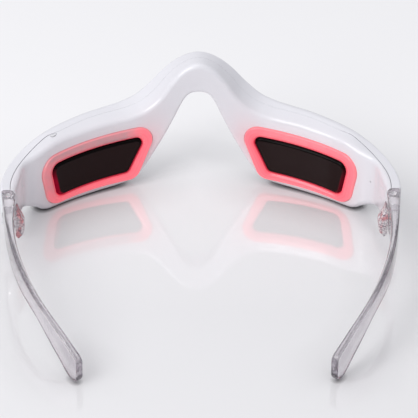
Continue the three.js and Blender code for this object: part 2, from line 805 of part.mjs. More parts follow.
// Temples, drawn about the hinge axis for the right side and mirrored for the left. The plan
// line is that of the inner face, and the thickness lies outside it.
const planTurn = Math.asin((templeReach - templeStraight) / templeBendRadius);
const planLength = templeFront + templeStraight + templeBendRadius * planTurn;
const profileCurve = (key, whole) => new THREE.SplineCurve(
  templeProfileShares.map((row) => new THREE.Vector2(row.along, row[key] * whole)),
);
const wideCurve = profileCurve('wide', templeThickness);
const templeTopCurve = profileCurve('top', templeTop);
const templeLowCurve = profileCurve('low', templeTop);

function planAt(length) {
  const past = length - templeFront - templeStraight;
  if (past <= 0) return { x: -templeThickness / 2, y: templeFront - length, turn: 0 };
  const turn = past / templeBendRadius;
  return {
    x: -templeThickness / 2 - templeBendRadius * (1 - Math.cos(turn)),
    y: -templeStraight - templeBendRadius * Math.sin(turn),
    turn,
  };
}

function cornerLift(radius, fromEnd) {
  const into = Math.max(0, radius - fromEnd);
  return radius - Math.sqrt(radius * radius - into * into);
}

function templeRing(along) {
  const share = shareAt(wideCurve, along);
  const fromEnd = (1 - along) * planLength;
  const { x, y, turn } = planAt(along * planLength);
  const narrowing = Math.max(0, 1 - fromEnd / tipNarrowing) * tipNarrowing;
  const wide = wideCurve.getPoint(share).y;
  const top = templeTopCurve.getPoint(share).y - cornerLift(tipTopRadius, fromEnd);
  const low = templeLowCurve.getPoint(share).y + cornerLift(tipLowRadius, fromEnd);
  const corners = [[wide - narrowing, low], [wide - narrowing, top], [narrowing, top], [narrowing, low]];
  const radius = Math.min(templeEdgeRadius, (wide / 2 - narrowing) * nearlyRoundShare);
  return rounded(corners, corners.map(() => radius), templeEdgeSteps, templeCornerSteps).map(([w, z]) => (
    new THREE.Vector3(x + w * Math.cos(turn), y - w * Math.sin(turn), z)
  ));
}

function templeBlank() {
  const even = Array.from({ length: templeSteps }, (_, i) => i / templeSteps);
  const tip = [tipLowRadius, tipLowRadius * tipMiddleShare, tipTopRadius, tipNarrowing, 0]
    .map((fromEnd) => 1 - fromEnd / planLength);
  const kept = even.filter((along) => along < tip[0] - 0.5 / templeSteps);
  return loft([...kept, ...tip].map(templeRing));
}

function templeSolid() {
  const slot = box(
    -templeThickness, templeThickness, -tongueThickness / 2 - fitGap, templeFront + cutOverrun,
    tongueBottom - fitGap, tongueTop + fitGap,
  );
  const corner = box(-templeThickness, 0, 0, templeThickness, 0, templeTop + cutOverrun)
    .subtract(toSolid(rod(templeFront, -cutOverrun, templeTop + 2 * cutOverrun)));
  const pinHole = toSolid(rod(pinHoleRadius, 0, templeTop + cutOverrun));
  const headRecess = toSolid(rod(
    pinHeadRadius + fitGap, templeTop - pinHeadHeight - 2 * fitGap, templeTop + cutOverrun,
  ));
  const floor = box(-templeReach, templeReach, -2 * templeReach, templeReach, -templeTop, 0);
  return [slot, corner, pinHole, headRecess, floor].reduce((sum, cut) => sum.subtract(cut), templeBlank());
}

const pinTop = templeTop - fitGap;
const pinFoot = templeTop * templeProfileShares[0].low + fitGap;
const hingePin = turned([
  [0, pinFoot],
  [pinRadius, pinFoot],
  [pinRadius, pinTop - pinHeadHeight],
  [pinHeadRadius, pinTop - pinHeadHeight],
  [pinHeadRadius, pinTop - pinHeadCrown],
  [pinHeadRadius * pinHeadCrownShare, pinTop],
  [0, pinTop],
]);

// Hinge block: a clear moulded gusset on the temple's inner face, thin at its top and thick at its
// foot, held by two small screws
const blockFace = -templeThickness / 2 - fitGap;
const blockMiddle = -blockSetback - blockLength / 2;
const screwLevels = [-1, 1].map((way) => blockBottom + screwLift + way * screwSpacing / 2);

function acrossRod(radius, x0, x1, z) {
  return toSolid(rod(radius, x0, x1, screwSteps).rotateY(Math.PI / 2).translate(0, blockMiddle, z));
}

// The gusset's outline seen along the temple, drawn in by a bevel at its two ends
function blockRing(fromMiddle, bevel) {
  const full = blockFace - blockThickness + bevel;
  const corners = [[blockFace, blockBottom + bevel], [blockFace, blockTop - bevel],
    [blockFace - blockTopThickness + bevel, blockTop - bevel], [full, blockShoulder],
    [full, blockBottom + bevel]];
  return rounded(corners, blockRadii, corners.map(() => 1), blockCornerSteps)
    .map(([x, z]) => new THREE.Vector3(x, blockMiddle + fromMiddle, z));
}

function hingeBlock() {
  const half = blockLength / 2;
  const rings = [[half, blockBevel], [half - blockBevel, 0], [blockBevel - half, 0], [-half, blockBevel]];
  const outside = blockFace - blockThickness;
  return screwLevels.reduce((plate, z) => plate
    .subtract(acrossRod(screwRadius + fitGap, outside - cutOverrun, blockFace + cutOverrun, z))
    .subtract(acrossRod(
      screwHeadRadius + fitGap, outside - cutOverrun, outside + screwHeadHeight + fitGap, z,
    )), loft(rings.map((ring) => blockRing(...ring))));
}

function blockScrew(z) {
  const headOut = blockFace - blockThickness + fitGap / 2;
  return acrossRod(screwHeadRadius, headOut, headOut + screwHeadHeight, z)
    .add(acrossRod(screwRadius, headOut, blockFace + fitGap + screwBite, z));
}

const screwHoles = screwLevels
  .map((z) => acrossRod(screwRadius + fitGap, blockFace, blockFace + screwBite + 2 * fitGap, z))
  .reduce((sum, solid) => sum.add(solid));
const temple = templeSolid().subtract(screwHoles);
const block = hingeBlock();

// Materials, with the colours that the real pieces show
function finish(color, roughness, metalness, more = {}) {
  return new THREE.MeshStandardMaterial({ color, roughness, metalness, ...more });
}
const materials = {
  shell: () => finish(0xe6e4ea, 0.22, 0),
  glow: () => finish(0xff6e78, 0.35, 0, { emissive: 0xff4654, emissiveIntensity: 0.6 }),
  tinted: () => finish(0x261a1a, 0.08, 0),
  clear: () => finish(0xd9d8de, 0.06, 0, { transparent: true, opacity: 0.35 }),
  steel: () => finish(0xb4b4b8, 0.28, 1),
  board: () => finish(0xf0efe9, 0.5, 0),
  green: () => finish(0x1f5c3a, 0.45, 0),
  emitter: () => finish(0xfff0c4, 0.3, 0),
  cell: () => finish(0xc9cacf, 0.35, 0.4),
  orange: () => finish(0xc9772c, 0.5, 0),
  black: () => finish(0x1d1d20, 0.4, 0),
};

const group = new THREE.Group();
function place(parent, name, geometry, material) {
  const mesh = new THREE.Mesh(geometry, material());
  mesh.name = name;
  parent.add(mesh);
}

place(group, 'rear_housing', toGeometry(rearHousing), materials.shell);
place(group, 'front_cover', toGeometry(frontCover), materials.shell);
place(group, 'battery', toGeometry(battery), materials.cell);
place(group, 'main_board', toGeometry(mainBoard), materials.green);
place(group, 'tact_switch', toGeometry(tactSwitch), materials.black);
place(group, 'charge_port', toGeometry(chargePort), materials.steel);
place(group, 'power_button', toGeometry(buttonSolid), materials.shell);
place(group, 'bridge_cable', toGeometry(bridgeCable), materials.orange);
place(group, 'status_light_pipe', toGeometry(lightPipe), materials.clear);

for (const [word, side] of [['left', -1], ['right', 1]]) {
  place(group, `${word}_light_ring`, toGeometry(lightRing(side)), materials.glow);
  place(group, `${word}_window`, toGeometry(windowLens(side)), materials.tinted);
  place(group, `${word}_led_board`, toGeometry(ledBoard(side).subtract(pipeHole)), materials.board);
  for (let i = 0; i < ledRows * ledColumns; i += 1) {
    place(group, `${word}_led_${i + 1}`, toGeometry(lightEmitter(side, i)), materials.emitter);
  }

  const hinge = new THREE.Group();
  hinge.position.set(side * hingeX, hingeY, 0);
  const own = (solid) => toGeometry(side > 0 ? solid : solid.mirror([1, 0, 0]));
  place(hinge, `${word}_temple`, own(temple), materials.clear);
  place(hinge, `${word}_hinge_block`, own(block), materials.clear);
  screwLevels.forEach((z, i) => {
    const name = `${word}_block_screw_${['low', 'high'][i]}`;
    place(hinge, name, own(blockScrew(z)), materials.steel);
  });
  place(hinge, `${word}_hinge_pin`, own(toSolid(hingePin)), materials.steel);
  group.add(hinge);
}

// The origin lies under the middle of the whole part, on the surface that it rests on
group.updateMatrixWorld(true);
const bounds = new THREE.Box3().setFromObject(group, true);
group.position.y = -(bounds.min.y + bounds.max.y) / 2;

export default group;
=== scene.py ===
# Light-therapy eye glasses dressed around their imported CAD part: a white two-shell frame with two
# glowing light rings round dark windows, and clear folding temples on pinned hinges. Metres.
import math

import bmesh
import bpy
import numpy as np
from mathutils import Matrix, Vector, noise
from mathutils.bvhtree import BVHTree
from mathutils.kdtree import KDTree


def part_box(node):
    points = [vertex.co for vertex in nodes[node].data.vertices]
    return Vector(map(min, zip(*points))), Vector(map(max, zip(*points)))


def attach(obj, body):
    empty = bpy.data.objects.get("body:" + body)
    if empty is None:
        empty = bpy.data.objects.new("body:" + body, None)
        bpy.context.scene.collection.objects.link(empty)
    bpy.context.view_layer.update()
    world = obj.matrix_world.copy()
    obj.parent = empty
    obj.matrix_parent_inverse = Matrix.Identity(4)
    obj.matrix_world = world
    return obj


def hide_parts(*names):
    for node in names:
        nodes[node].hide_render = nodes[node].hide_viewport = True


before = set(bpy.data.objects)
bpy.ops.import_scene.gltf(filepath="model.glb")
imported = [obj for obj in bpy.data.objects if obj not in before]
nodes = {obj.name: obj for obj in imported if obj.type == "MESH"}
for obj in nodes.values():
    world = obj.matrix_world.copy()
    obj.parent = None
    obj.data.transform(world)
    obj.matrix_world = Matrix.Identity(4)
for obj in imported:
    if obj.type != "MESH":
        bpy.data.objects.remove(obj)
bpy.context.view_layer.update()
MM = 0.001


# Rear housing. The white half of the frame on the wearer's side, moulded in glossy ABS with a
# 1.6 mm wall. It follows the face curve, arches over the nose and carries the light rings in
# stepped seats. The front cover snaps onto it along the seam.
HALF_SPAN, WRAP, FACE_POWER = 73.0, 48.5, 1.9
CROWN_HEIGHT, TOP_FALL, FOOT_CUT = 55.0, 4.6, 0.35
BRIDGE_DEPTH, END_DEPTH, COVER_DEPTH = 11.4, 6.0, 3.8
WALL, REAR_WALL, SEAM_GAP, COVER_GAIN = 1.6, 2.4, 0.3, 1.3
SEAM_LINE, REAR_LIP, FRONT_LIP = 0.12, 0.4, 0.1
VALLEY_DEPTH, VALLEY_WIDTH_SHARE = 2.1, 0.06
LOBE_REACH, LOBE_SHARE = 78.3, 0.82
MARK_REACH, MARK_FADE, HOLLOW_SHARES = 64, 8, (0.13, 0.87)

# The hinge axis stands 3 mm behind the end of the face curve
FACE_SHIFT = sum(c.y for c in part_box("left_hinge_pin")) / 2 / MM + WRAP + 3.0

face_turn = np.linspace(0, math.pi / 2, 4801)
face_x = HALF_SPAN * np.sin(face_turn) ** (2 / FACE_POWER)
face_y = WRAP * (np.maximum(0, np.cos(face_turn)) ** (2 / FACE_POWER) - 1)
face_s = np.concatenate([[0], np.cumsum(np.hypot(np.diff(face_x), np.diff(face_y)))])
HALF_LENGTH = face_s[-1]
tangent_x = np.gradient(face_x, face_s)
tangent_y = np.gradient(face_y, face_s)
tangent_run = np.hypot(tangent_x, tangent_y)
tangent_x, tangent_y = tangent_x / tangent_run, tangent_y / tangent_run


def face_at(s):
    """Place and outward direction on the face curve at a reach along it."""
    s = np.asarray(s, float)
    reach, side = np.abs(s), np.where(s < 0, -1.0, 1.0)
    past = np.maximum(0, reach - HALF_LENGTH)
    x = np.interp(reach, face_s, face_x)
    y = np.interp(reach, face_s, face_y) - past
    nx = np.interp(reach, face_s, -tangent_y)
    return side * x, y, side * nx, np.sqrt(np.maximum(0, 1 - nx * nx))


def on_face(s, z, depth):
    """A point given along the face, up, and forward of the wearer's side, in metres."""
    x, y, nx, ny = face_at(s)
    z = np.asarray(z, float) + 0 * x
    return np.stack([x + depth * nx, y + depth * ny + FACE_SHIFT, z], -1) * MM


def off_face(points):
    """The reach along the face and the depth of points given in metres."""
    p = np.asarray(points, float) / MM
    side = np.where(p[:, 0] < 0, -1.0, 1.0)
    x, y = np.abs(p[:, 0]), p[:, 1] - FACE_SHIFT
    s = np.interp(x, face_x, face_s)
    for _ in range(30):
        fx, fy, nx, ny = face_at(s)
        s = np.clip(s + 0.6 * ((x - fx) * ny - (y - fy) * nx), 0, HALF_LENGTH)
    fx, fy, nx, ny = face_at(s)
    return side * s, (x - fx) * nx + (y - fy) * ny


def frame_depth(s):
    return BRIDGE_DEPTH + (END_DEPTH - BRIDGE_DEPTH) * np.minimum(1, np.abs(s) / HALF_LENGTH) ** 2


def rear_depth(s):
    """How deep the valley along the wearer's side of each lobe is."""
    off = (np.abs(s) - LOBE_REACH) / (VALLEY_WIDTH_SHARE * HALF_LENGTH)
    return VALLEY_DEPTH * np.exp(-off * off)


def ramp(value, start, run):
    """0 up to a start, rising to 1 over a run past it, or before it where the run is negative."""
    return np.clip((value - start) / run, 0, 1)


def past_mark(s):
    """0 from the hinge to the small light mark, rising to 1 toward the nose."""
    t = ramp(np.abs(s), MARK_REACH, -MARK_FADE)
    return t * t * (3 - 2 * t)


def seam_depth(s):
    return frame_depth(s) - COVER_DEPTH - COVER_GAIN * past_mark(s)


def reach_of(share):
    if share <= LOBE_SHARE:
        return share / LOBE_SHARE * LOBE_REACH
    return LOBE_REACH + (share - LOBE_SHARE) / (1 - LOBE_SHARE) * (HALF_LENGTH - LOBE_REACH)


# Half outline: top point, lower point, how much lower the wearer's side of the top lies, and how
# much of FRONT_TOP_RADIUS rounds its far side
OUTLINE_SHARES = [
    ((0, 1), (0, 0.767), 0.1, 0.28), ((0.065, 0.966), (0.038, 0.751), 0.24, 0.28),
    ((0.126, 0.886), (0.067, 0.687), 0.55, 0.28), ((0.19, 0.767), (0.102, 0.556), 0.82, 0.28),
    ((0.25, 0.693), (0.142, 0.415), 0.96, 0.5), ((0.31, 0.663), (0.184, 0.28), 0.98, 0.7),
    ((0.352, 0.656), (0.23, 0.145), 0.96, 0.83), ((0.399, 0.654), (0.28, 0.06), 0.98, 0.95),
    ((0.452, 0.651), (0.345, 0.022), 1, 1), ((0.535, 0.638), (0.5, 0), 0.98, 1),
    ((0.64, 0.6), (0.655, 0), 0.56, 0.85), ((0.69, 0.569), (0.71, 0.018), 0.3, 0.6),
    ((0.738, 0.542), (0.752, 0.07), 0.16, 0.35), ((0.795, 0.518), (0.805, 0.12), 0.1, 0.28),
    ((0.88, 0.495), (0.885, 0.152), 0.08, 0.28), ((1, 0.475), (1, 0.17), 0.08, 0.28),
]
FRONT_TOP_RADIUS = 2.9
half_rows = [
    (reach_of(t[0]), t[1] * CROWN_HEIGHT, reach_of(w[0]), w[1] * CROWN_HEIGHT - FOOT_CUT, f * TOP_FALL,
     r * FRONT_TOP_RADIUS)
    for t, w, f, r in OUTLINE_SHARES
]
outline_rows = [(-a, b, -c, d, e, r) for a, b, c, d, e, r in half_rows[:0:-1]] + half_rows


def smooth_row(rows, share):
    """A point on the smooth curve through rows of numbers."""
    p = np.asarray(rows, float)
    last = len(p) - 1
    place = last * share
    i = int(min(last, math.floor(place)))
    w = place - i
    p0, p1 = p[max(0, i - 1)], p[i]
    p2, p3 = p[min(last, i + 1)], p[min(last, i + 2)]
    v0, v1 = (p2 - p0) / 2, (p3 - p1) / 2
    return ((2 * p1 - 2 * p2 + v0 + v1) * w ** 3 + (-3 * p1 + 3 * p2 - 2 * v0 - v1) * w ** 2
            + v0 * w + p1)


def rounded_corner(before, corner, after, radius, steps):
    a, c, b = (np.asarray(v, float) for v in (before, corner, after))
    into = (c - a) / np.linalg.norm(c - a)
    out = (b - c) / np.linalg.norm(b - c)
    half = math.acos(max(-1, min(1, float(into @ out)))) / 2
    if half < 1e-6:
        return [c] * (steps + 1)
    start = c - into * radius * math.tan(half)
    bisector = (out - into) / np.linalg.norm(out - into)
    centre = c + bisector * radius / math.cos(half)
    turn = math.copysign(2 * half, into[0] * out[1] - into[1] * out[0])
    points = []
    for k in range(steps + 1):
        angle = turn * k / steps
        cos, sin = math.cos(angle), math.sin(angle)
        v = start - centre
        points.append(centre + [v[0] * cos - v[1] * sin, v[0] * sin + v[1] * cos])
    return points


def rounded_outline(corners, radii, arc_steps, edge_steps):
    """A closed outline with rounded corners; edge_steps cut the straight parts."""
    count = len(corners)
    arcs = [rounded_corner(corners[i - 1], corners[i], corners[(i + 1) % count], radii[i], arc_steps)
            for i in range(count)]
    points = []
    for i, arc in enumerate(arcs):
        points += arc
        to = arcs[(i + 1) % count][0]
        points += [arc[-1] + (to - arc[-1]) * k / edge_steps[i] for k in range(1, edge_steps[i])]
    return np.array(points)


REAR_LOBE_RADIUS, REAR_ARCH_RADIUS, ARCH_HEIGHT = 3.0, 1.3, 20.0
REAR_TOP_RADIUS, FRONT_LOW_RADIUS = 2.2, 2.4
CORNER_ROOM_SHARE, CAVITY_CORNER = 0.45, 1.0


def section(share, inset):
    """One cross-section of the frame: reach, height and depth of each point of its outline."""
    top_s, top_z, low_s, low_z, fall, top_round = smooth_row(outline_rows, share)
    rise = math.hypot(top_s - low_s, top_z - low_z)
    middle = (top_s + low_s) / 2
    edge = WALL if inset else 0
    rear = REAR_WALL if inset else 0
    front = frame_depth(middle) - edge
    corners = [(edge, rear), (rise - fall - edge, rear), (rise - edge, front), (edge, front)]
    room = min(front - rear, rise - fall - 2 * edge) * CORNER_ROOM_SHARE
    over_arch = max(0, min(1, low_z / ARCH_HEIGHT))
    rear_low = REAR_LOBE_RADIUS + (REAR_ARCH_RADIUS - REAR_LOBE_RADIUS) * over_arch
    radii = [CAVITY_CORNER] * 4 if inset else [
        rear_low, REAR_TOP_RADIUS, top_round, FRONT_LOW_RADIUS]
    radii = [min(r, room) for r in radii]
    line = rounded_outline(corners, radii, 20, [30, 14, 30, 14])
    up, depth = line[:, 0] / rise, line[:, 1]
    s = low_s + (top_s - low_s) * up
    z = low_z + (top_z - low_z) * up
    toward = (depth - rear) / (front - rear)
    own = frame_depth(s) - frame_depth(middle)
    return np.stack([s, z, depth + own * toward + rear_depth(s) * (1 - toward)], -1)


def spread(path, count, turn_weight):
    """Points along a path, closer together where it turns."""
    path = path[np.concatenate([[True], np.linalg.norm(np.diff(path, axis=0), axis=1) > 1e-7])]
    step = np.diff(path, axis=0)
    run = np.linalg.norm(step, axis=1)
    unit = step / run[:, None]
    bend = np.concatenate([[0], np.arccos(np.clip((unit[1:] * unit[:-1]).sum(1), -1, 1)), [0]])
    weight = run + turn_weight * (bend[:-1] + bend[1:]) / 2
    measure = np.concatenate([[0], np.cumsum(weight)])
    at = np.linspace(0, measure[-1], count)
    return np.stack([np.interp(at, measure, path[:, i]) for i in range(path.shape[1])], -1)


def shell_part(line, front, gap):
    """The part of a closed section on one side of the seam, from its lower to its upper edge."""
    off = line[:, 2] - seam_depth(line[:, 0]) - (gap / 2 if front else -gap / 2)
    kept = off > 0 if front else off < 0
    count = len(line)
    entry = [i for i in range(count) if kept[i] and not kept[i - 1]][0]
    order = [(entry + k) % count for k in range(count) if kept[(entry + k) % count]]
    crossing = []
    for a, b in ((entry - 1, entry), (order[-1], (order[-1] + 1) % count)):
        w = off[a] / (off[a] - off[b])
        crossing.append(line[a] + (line[b] - line[a]) * w)
    return np.vstack([crossing[0], line[order], crossing[1]])


def lipped(path, radius, steps=4):
    """Rounds a path's two ends over toward each other, as a moulded edge is."""
    total = np.concatenate([[0], np.cumsum(np.linalg.norm(np.diff(path, axis=0), axis=1))])
    length = total[-1]
    at = lambda d: np.array([np.interp(d, total, path[:, i]) for i in range(3)])
    across = path[-1] - path[0]
    across = across / np.linalg.norm(across)
    ends = []
    for corner, start, into in ((path[0], at(radius), across), (path[-1], at(length - radius), -across)):
        finish = corner + into * radius
        ends.append([(1 - t) ** 2 * start + 2 * t * (1 - t) * corner + t * t * finish
                     for t in np.linspace(0, 1, steps + 1)])
    body = [p for p, d in zip(path, total) if radius < d < length - radius]
    return np.array(ends[0][::-1] + body + ends[1])


def shell_rings(front, stations=300, outer_count=64, inner_count=26):
    """Closed loops of one shell: round its outside and back along its hollow or its seam."""
    rings = []
    for k in range(stations + 1):
        share = k / stations
        line = section(share, False)
        fade = 1 - 0.75 * float(past_mark(line[:, 0].mean()))
        outer = spread(shell_part(line, front, SEAM_LINE * fade), outer_count, 1.6)
        outer = lipped(outer, (FRONT_LIP if front else REAR_LIP) * fade)
        if len(outer) != outer_count + 8:
            outer = spread(outer, outer_count + 8, 0.8)
        if HOLLOW_SHARES[0] < share < HOLLOW_SHARES[1]:
            inner = spread(shell_part(section(share, True), front, SEAM_LINE), inner_count, 1.0)
        else:
            t = np.linspace(0.06, 0.94, inner_count)[:, None]
            inner = outer[0] + (outer[-1] - outer[0]) * t
        ring = np.vstack([outer, inner[::-1]])
        rings.append(on_face(ring[:, 0], np.maximum(0, ring[:, 1]), ring[:, 2]))
    return rings


def loft_mesh(rings, closed=False, ladder=False):
    """A mesh of quads between rings of points in metres, closed by an n-gon at each end, or by
    rungs between the mirrored halves of rings that follow a curved face."""
    count, total = len(rings[0]), len(rings)
    faces = []
    for i in range(total if closed else total - 1):
        a, b = i * count, ((i + 1) % total) * count
        faces += [(a + j, a + (j + 1) % count, b + (j + 1) % count, b + j) for j in range(count)]
    last = (total - 1) * count
    if ladder:
        rungs = [(i, i + 1, count - 1 - i, (count - i) % count) for i in range(1, count // 2 - 1)]
        rungs += [(0, 1, count - 1), (count // 2 - 1, count // 2, count // 2 + 1)]
        faces += [rung[::-1] for rung in rungs] + [tuple(last + i for i in rung) for rung in rungs]
    elif not closed:
        faces += [tuple(range(count))[::-1], tuple(last + j for j in range(count))]
    mesh = bpy.data.meshes.new("loft")
    mesh.from_pydata([tuple(p) for p in np.concatenate(rings)], [], faces)
    mesh.validate()
    mesh.update()
    return mesh


def outward(mesh):
    """Turns a closed mesh's faces outward."""
    shape = bmesh.new()
    shape.from_mesh(mesh)
    bmesh.ops.recalc_face_normals(shape, faces=shape.faces)
    shape.to_mesh(mesh)
    shape.free()


def piece(name, mesh, material, smooth_angle=40):
    """A new object of a lofted mesh, smooth apart from edges sharper than an angle."""
    thing = bpy.data.objects.new(name, mesh)
    bpy.context.scene.collection.objects.link(thing)
    outward(mesh)
    mesh.name = name
    mesh.shade_smooth()
    mesh.set_sharp_from_angle(angle=math.radians(smooth_angle))
    mesh.materials.append(material)
    return thing


def stored(mesh, name, values):
    """Keeps one number per point on a mesh, for its material to read."""
    layer = mesh.attributes.new(name, "FLOAT", "POINT")
    layer.data.foreach_set("value", np.asarray(values, np.float32))


class Wiring:
    """Adds shader nodes to a material, a world or a group, and feeds them."""

    def __init__(self, owner):
        self.tree = owner if hasattr(owner, "interface") else owner.node_tree

    def feed(self, node, sockets):
        """Links a node's inputs to sockets, or sets plain values on them."""
        for key, value in sockets.items():
            if isinstance(value, bpy.types.NodeSocket):
                self.tree.links.new(value, node.inputs[key])
            else:
                node.inputs[key].default_value = value

    def add(self, kind, sockets=None, **settings):
        node = self.tree.nodes.new(kind)
        for key, value in settings.items():
            setattr(node, key, value)
        self.feed(node, sockets or {})
        return node

    def read(self, name):
        """A number stored on the mesh."""
        return self.add("ShaderNodeAttribute", attribute_name=name).outputs["Fac"]

    def place(self):
        return self.add("ShaderNodeTexCoord").outputs["Object"]

    def noise(self, place, scale, detail=2.0):
        made = self.add("ShaderNodeTexNoise", {"Vector": place, "Scale": scale, "Detail": detail})
        return made.outputs["Fac"]

    def ranged(self, value, from_min, from_max, to_min=0.0, to_max=1.0):
        made = self.add("ShaderNodeMapRange", {"Value": value, "From Min": from_min, "From Max": from_max,
                                               "To Min": to_min, "To Max": to_max})
        return made.outputs["Result"]

    def maths(self, operation, a, b, clamp=False):
        made = self.add("ShaderNodeMath", {0: a, 1: b}, operation=operation, use_clamp=clamp)
        return made.outputs["Value"]

    def mixed(self, factor, a, b):
        """A colour between two colours."""
        made = self.add("ShaderNodeMix", {"Factor": factor, "A": a, "B": b}, data_type="RGBA")
        return made.outputs["Result"]

    def shade(self, distance):
        """1 on open surfaces, falling where others stand within a distance."""
        return self.add("ShaderNodeAmbientOcclusion", {"Distance": distance}, samples=8).outputs["AO"]


# Moulded surface: faint waviness of the wall and a fine grain, as a normal, with a soft mottle
moulded = bpy.data.node_groups.new("moulded_surface", "ShaderNodeTree")
for socket, value in (("Wave Size", 90.0), ("Grain Size", 2600.0), ("Wave", 0.1), ("Grain", 0.05)):
    made = moulded.interface.new_socket(socket, in_out="INPUT", socket_type="NodeSocketFloat")
    made.default_value = value
for socket, kind in (("Normal", "NodeSocketVector"), ("Mottle", "NodeSocketFloat")):
    moulded.interface.new_socket(socket, in_out="OUTPUT", socket_type=kind)
wires = Wiring(moulded)
asked = wires.add("NodeGroupInput").outputs
place = wires.place()
wave = wires.noise(place, asked["Wave Size"])
grain = wires.noise(place, asked["Grain Size"], 3.0)
wavy = wires.add("ShaderNodeBump", {"Height": wave, "Strength": asked["Wave"], "Distance": 0.0004})
grained = wires.add("ShaderNodeBump", {"Height": grain, "Strength": asked["Grain"], "Distance": 0.00006,
                                       "Normal": wavy.outputs["Normal"]})
wires.add("NodeGroupOutput", {"Normal": grained.outputs["Normal"], "Mottle": wave})


def new_finish(name, wave, grain, size):
    """A material with the moulded surface, with its wiring, its shader and its mottle."""
    material = bpy.data.materials.new(name)
    material.use_nodes = True
    wires = Wiring(material)
    shader = wires.tree.nodes["Principled BSDF"]
    surface = wires.add("ShaderNodeGroup", node_tree=moulded)
    wires.feed(surface, {"Wave": wave, "Grain": grain, "Wave Size": size})
    wires.feed(shader, {"Normal": surface.outputs["Normal"]})
    return material, wires, shader, surface.outputs["Mottle"]


white_shell, wires, shader, mottle = new_finish("white_shell", 0.05, 0.03, 90.0)
# Painted light and shade: a painted pink glow of the light rings tints the shell near them, and painted shade
# darkens its colour in seams, pits and crevices where other surfaces stand within 0.9 mm.
tint = wires.mixed(wires.read("ring_glow"), (0.80, 0.79, 0.83, 1), (0.93, 0.52, 0.56, 1))
painted_crease_shade = wires.ranged(wires.shade(0.0009), 0.1, 0.6)
wires.feed(shader, {
    "Base Color": wires.mixed(painted_crease_shade, (0.30, 0.27, 0.31, 1), tint),
    "Roughness": wires.ranged(mottle, 0.3, 0.7, 0.32, 0.38), "Coat Weight": 0.7, "Coat Roughness": 0.06,
})

rear_shell = piece("rear_shell", loft_mesh(shell_rings(False)), white_shell)

RING_REACH, RING_LEVEL, RING_RADII = (15.9, 71.6), (2.0, 28.1), [7.0, 5.4, 6.0, 7.4]
RING_TOP_FALL, RING_LOW_RISE, RING_INNER_LEAN, RING_OUTER_LEAN = 3.4, 1.7, 9.6, 4.8


def lobe_corners(reach, level, top_fall, low_outer, low_inner, inner_lean, outer_lean):
    """The four corners of an opening in a lobe, from its lower outer corner."""
    return [(reach[1] - outer_lean, level[0] + low_outer), (reach[0] + inner_lean, level[0] + low_inner),
            (reach[0], level[1]), (reach[1], level[1] - top_fall)]


ring_corners = lobe_corners(RING_REACH, RING_LEVEL, RING_TOP_FALL, 0, RING_LOW_RISE, RING_INNER_LEAN,
                            RING_OUTER_LEAN)


def moved_corners(corners, distance):
    """The corners of an outline whose edges have all moved outward by one distance."""
    p = np.asarray(corners, float)
    nxt = np.roll(p, -1, 0)
    area = (p[:, 0] * nxt[:, 1] - nxt[:, 0] * p[:, 1]).sum()
    along = nxt - p
    out = np.stack([along[:, 1], -along[:, 0]], -1)
    out = out / np.linalg.norm(out, axis=1)[:, None] * np.sign(area)
    level = (out * p).sum(1) + distance
    moved = []
    for i in range(len(p)):
        moved.append(np.linalg.solve(np.array([out[i - 1], out[i]]), [level[i - 1], level[i]]))
    return np.array(moved)


def seat_line(corners, radii, distance, arc_steps=12, edge_steps=(28, 8, 28, 8)):
    """A rounded outline that starts at the middle of its outer edge, so that its halves mirror."""
    grown = [max(SEAM_GAP, r + distance) for r in radii]
    line = rounded_outline(moved_corners(corners, distance), grown, arc_steps, edge_steps)
    return np.roll(line, edge_steps[-1] // 2, 0)


def ring_line(distance):
    return seat_line(ring_corners, RING_RADII, distance)


def laid(line, side, depth):
    return on_face(side * line[:, 0], line[:, 1], depth)


def round_plan(radius, steps=48):
    angle = np.linspace(0, 2 * math.pi, steps, endpoint=False)
    return np.stack([radius * np.cos(angle), radius * np.sin(angle)], -1)


def cutter(mesh):
    thing = bpy.data.objects.new("cutter", mesh)
    bpy.context.scene.collection.objects.link(thing)
    outward(mesh)
    return thing


def carve(thing, cutters):
    """Cuts the cutters out of a piece, and returns a copy of the uncut piece, its skin."""
    skin = thing.copy()
    skin.data = thing.data.copy()
    bpy.context.scene.collection.objects.link(skin)
    for tool in cutters:
        cut = thing.modifiers.new("cut", "BOOLEAN")
        cut.operation, cut.object, cut.solver = "DIFFERENCE", tool, "EXACT"
    bpy.context.view_layer.update()
    cut_thing = thing.evaluated_get(bpy.context.evaluated_depsgraph_get())
    cut_mesh = bpy.data.meshes.new_from_object(cut_thing)
    thing.modifiers.clear()
    thing.data = cut_mesh
    cut_mesh.set_sharp_from_angle(angle=math.radians(40))
    for tool in cutters:
        bpy.data.objects.remove(tool)
    return skin


RING_SEAT_DEPTH, RING_LEDGE, RING_FIT = 1.4, 1.2, 0.18
seat_cutters = []
for side in (-1, 1):
    for line, depths in ((ring_line(RING_FIT), (-3.0, RING_SEAT_DEPTH)),
                         (ring_line(SEAM_GAP - RING_LEDGE), (0.2, 6.0))):
        seat_cutters.append(cutter(loft_mesh([laid(line, side, d) for d in depths], ladder=True)))
PORT_REACH, PORT_SIZE, PORT_RADIUS = LOBE_REACH - 32.3, (8.9, 3.2), 1.1


def port_way():
    """A cutter for the charging inlet's mouth in the underside of both shells."""
    low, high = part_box("charge_port")
    middle = (low + high) / 2 / MM
    _, _, nx, ny = (float(v) for v in face_at(PORT_REACH))
    wide, thick = (v / 2 + SEAM_GAP for v in PORT_SIZE)
    corners = [(-wide, -thick), (wide, -thick), (wide, thick), (-wide, thick)]
    line = rounded_outline(corners, [PORT_RADIUS + SEAM_GAP] * 4, 8, (4, 2, 4, 2))
    x = middle.x + line[:, 0] * ny + line[:, 1] * nx
    y = middle.y - line[:, 0] * nx + line[:, 1] * ny
    rings = [np.stack([x, y, 0 * x + level], -1) * MM for level in (-3, 4)]
    return cutter(loft_mesh(rings))


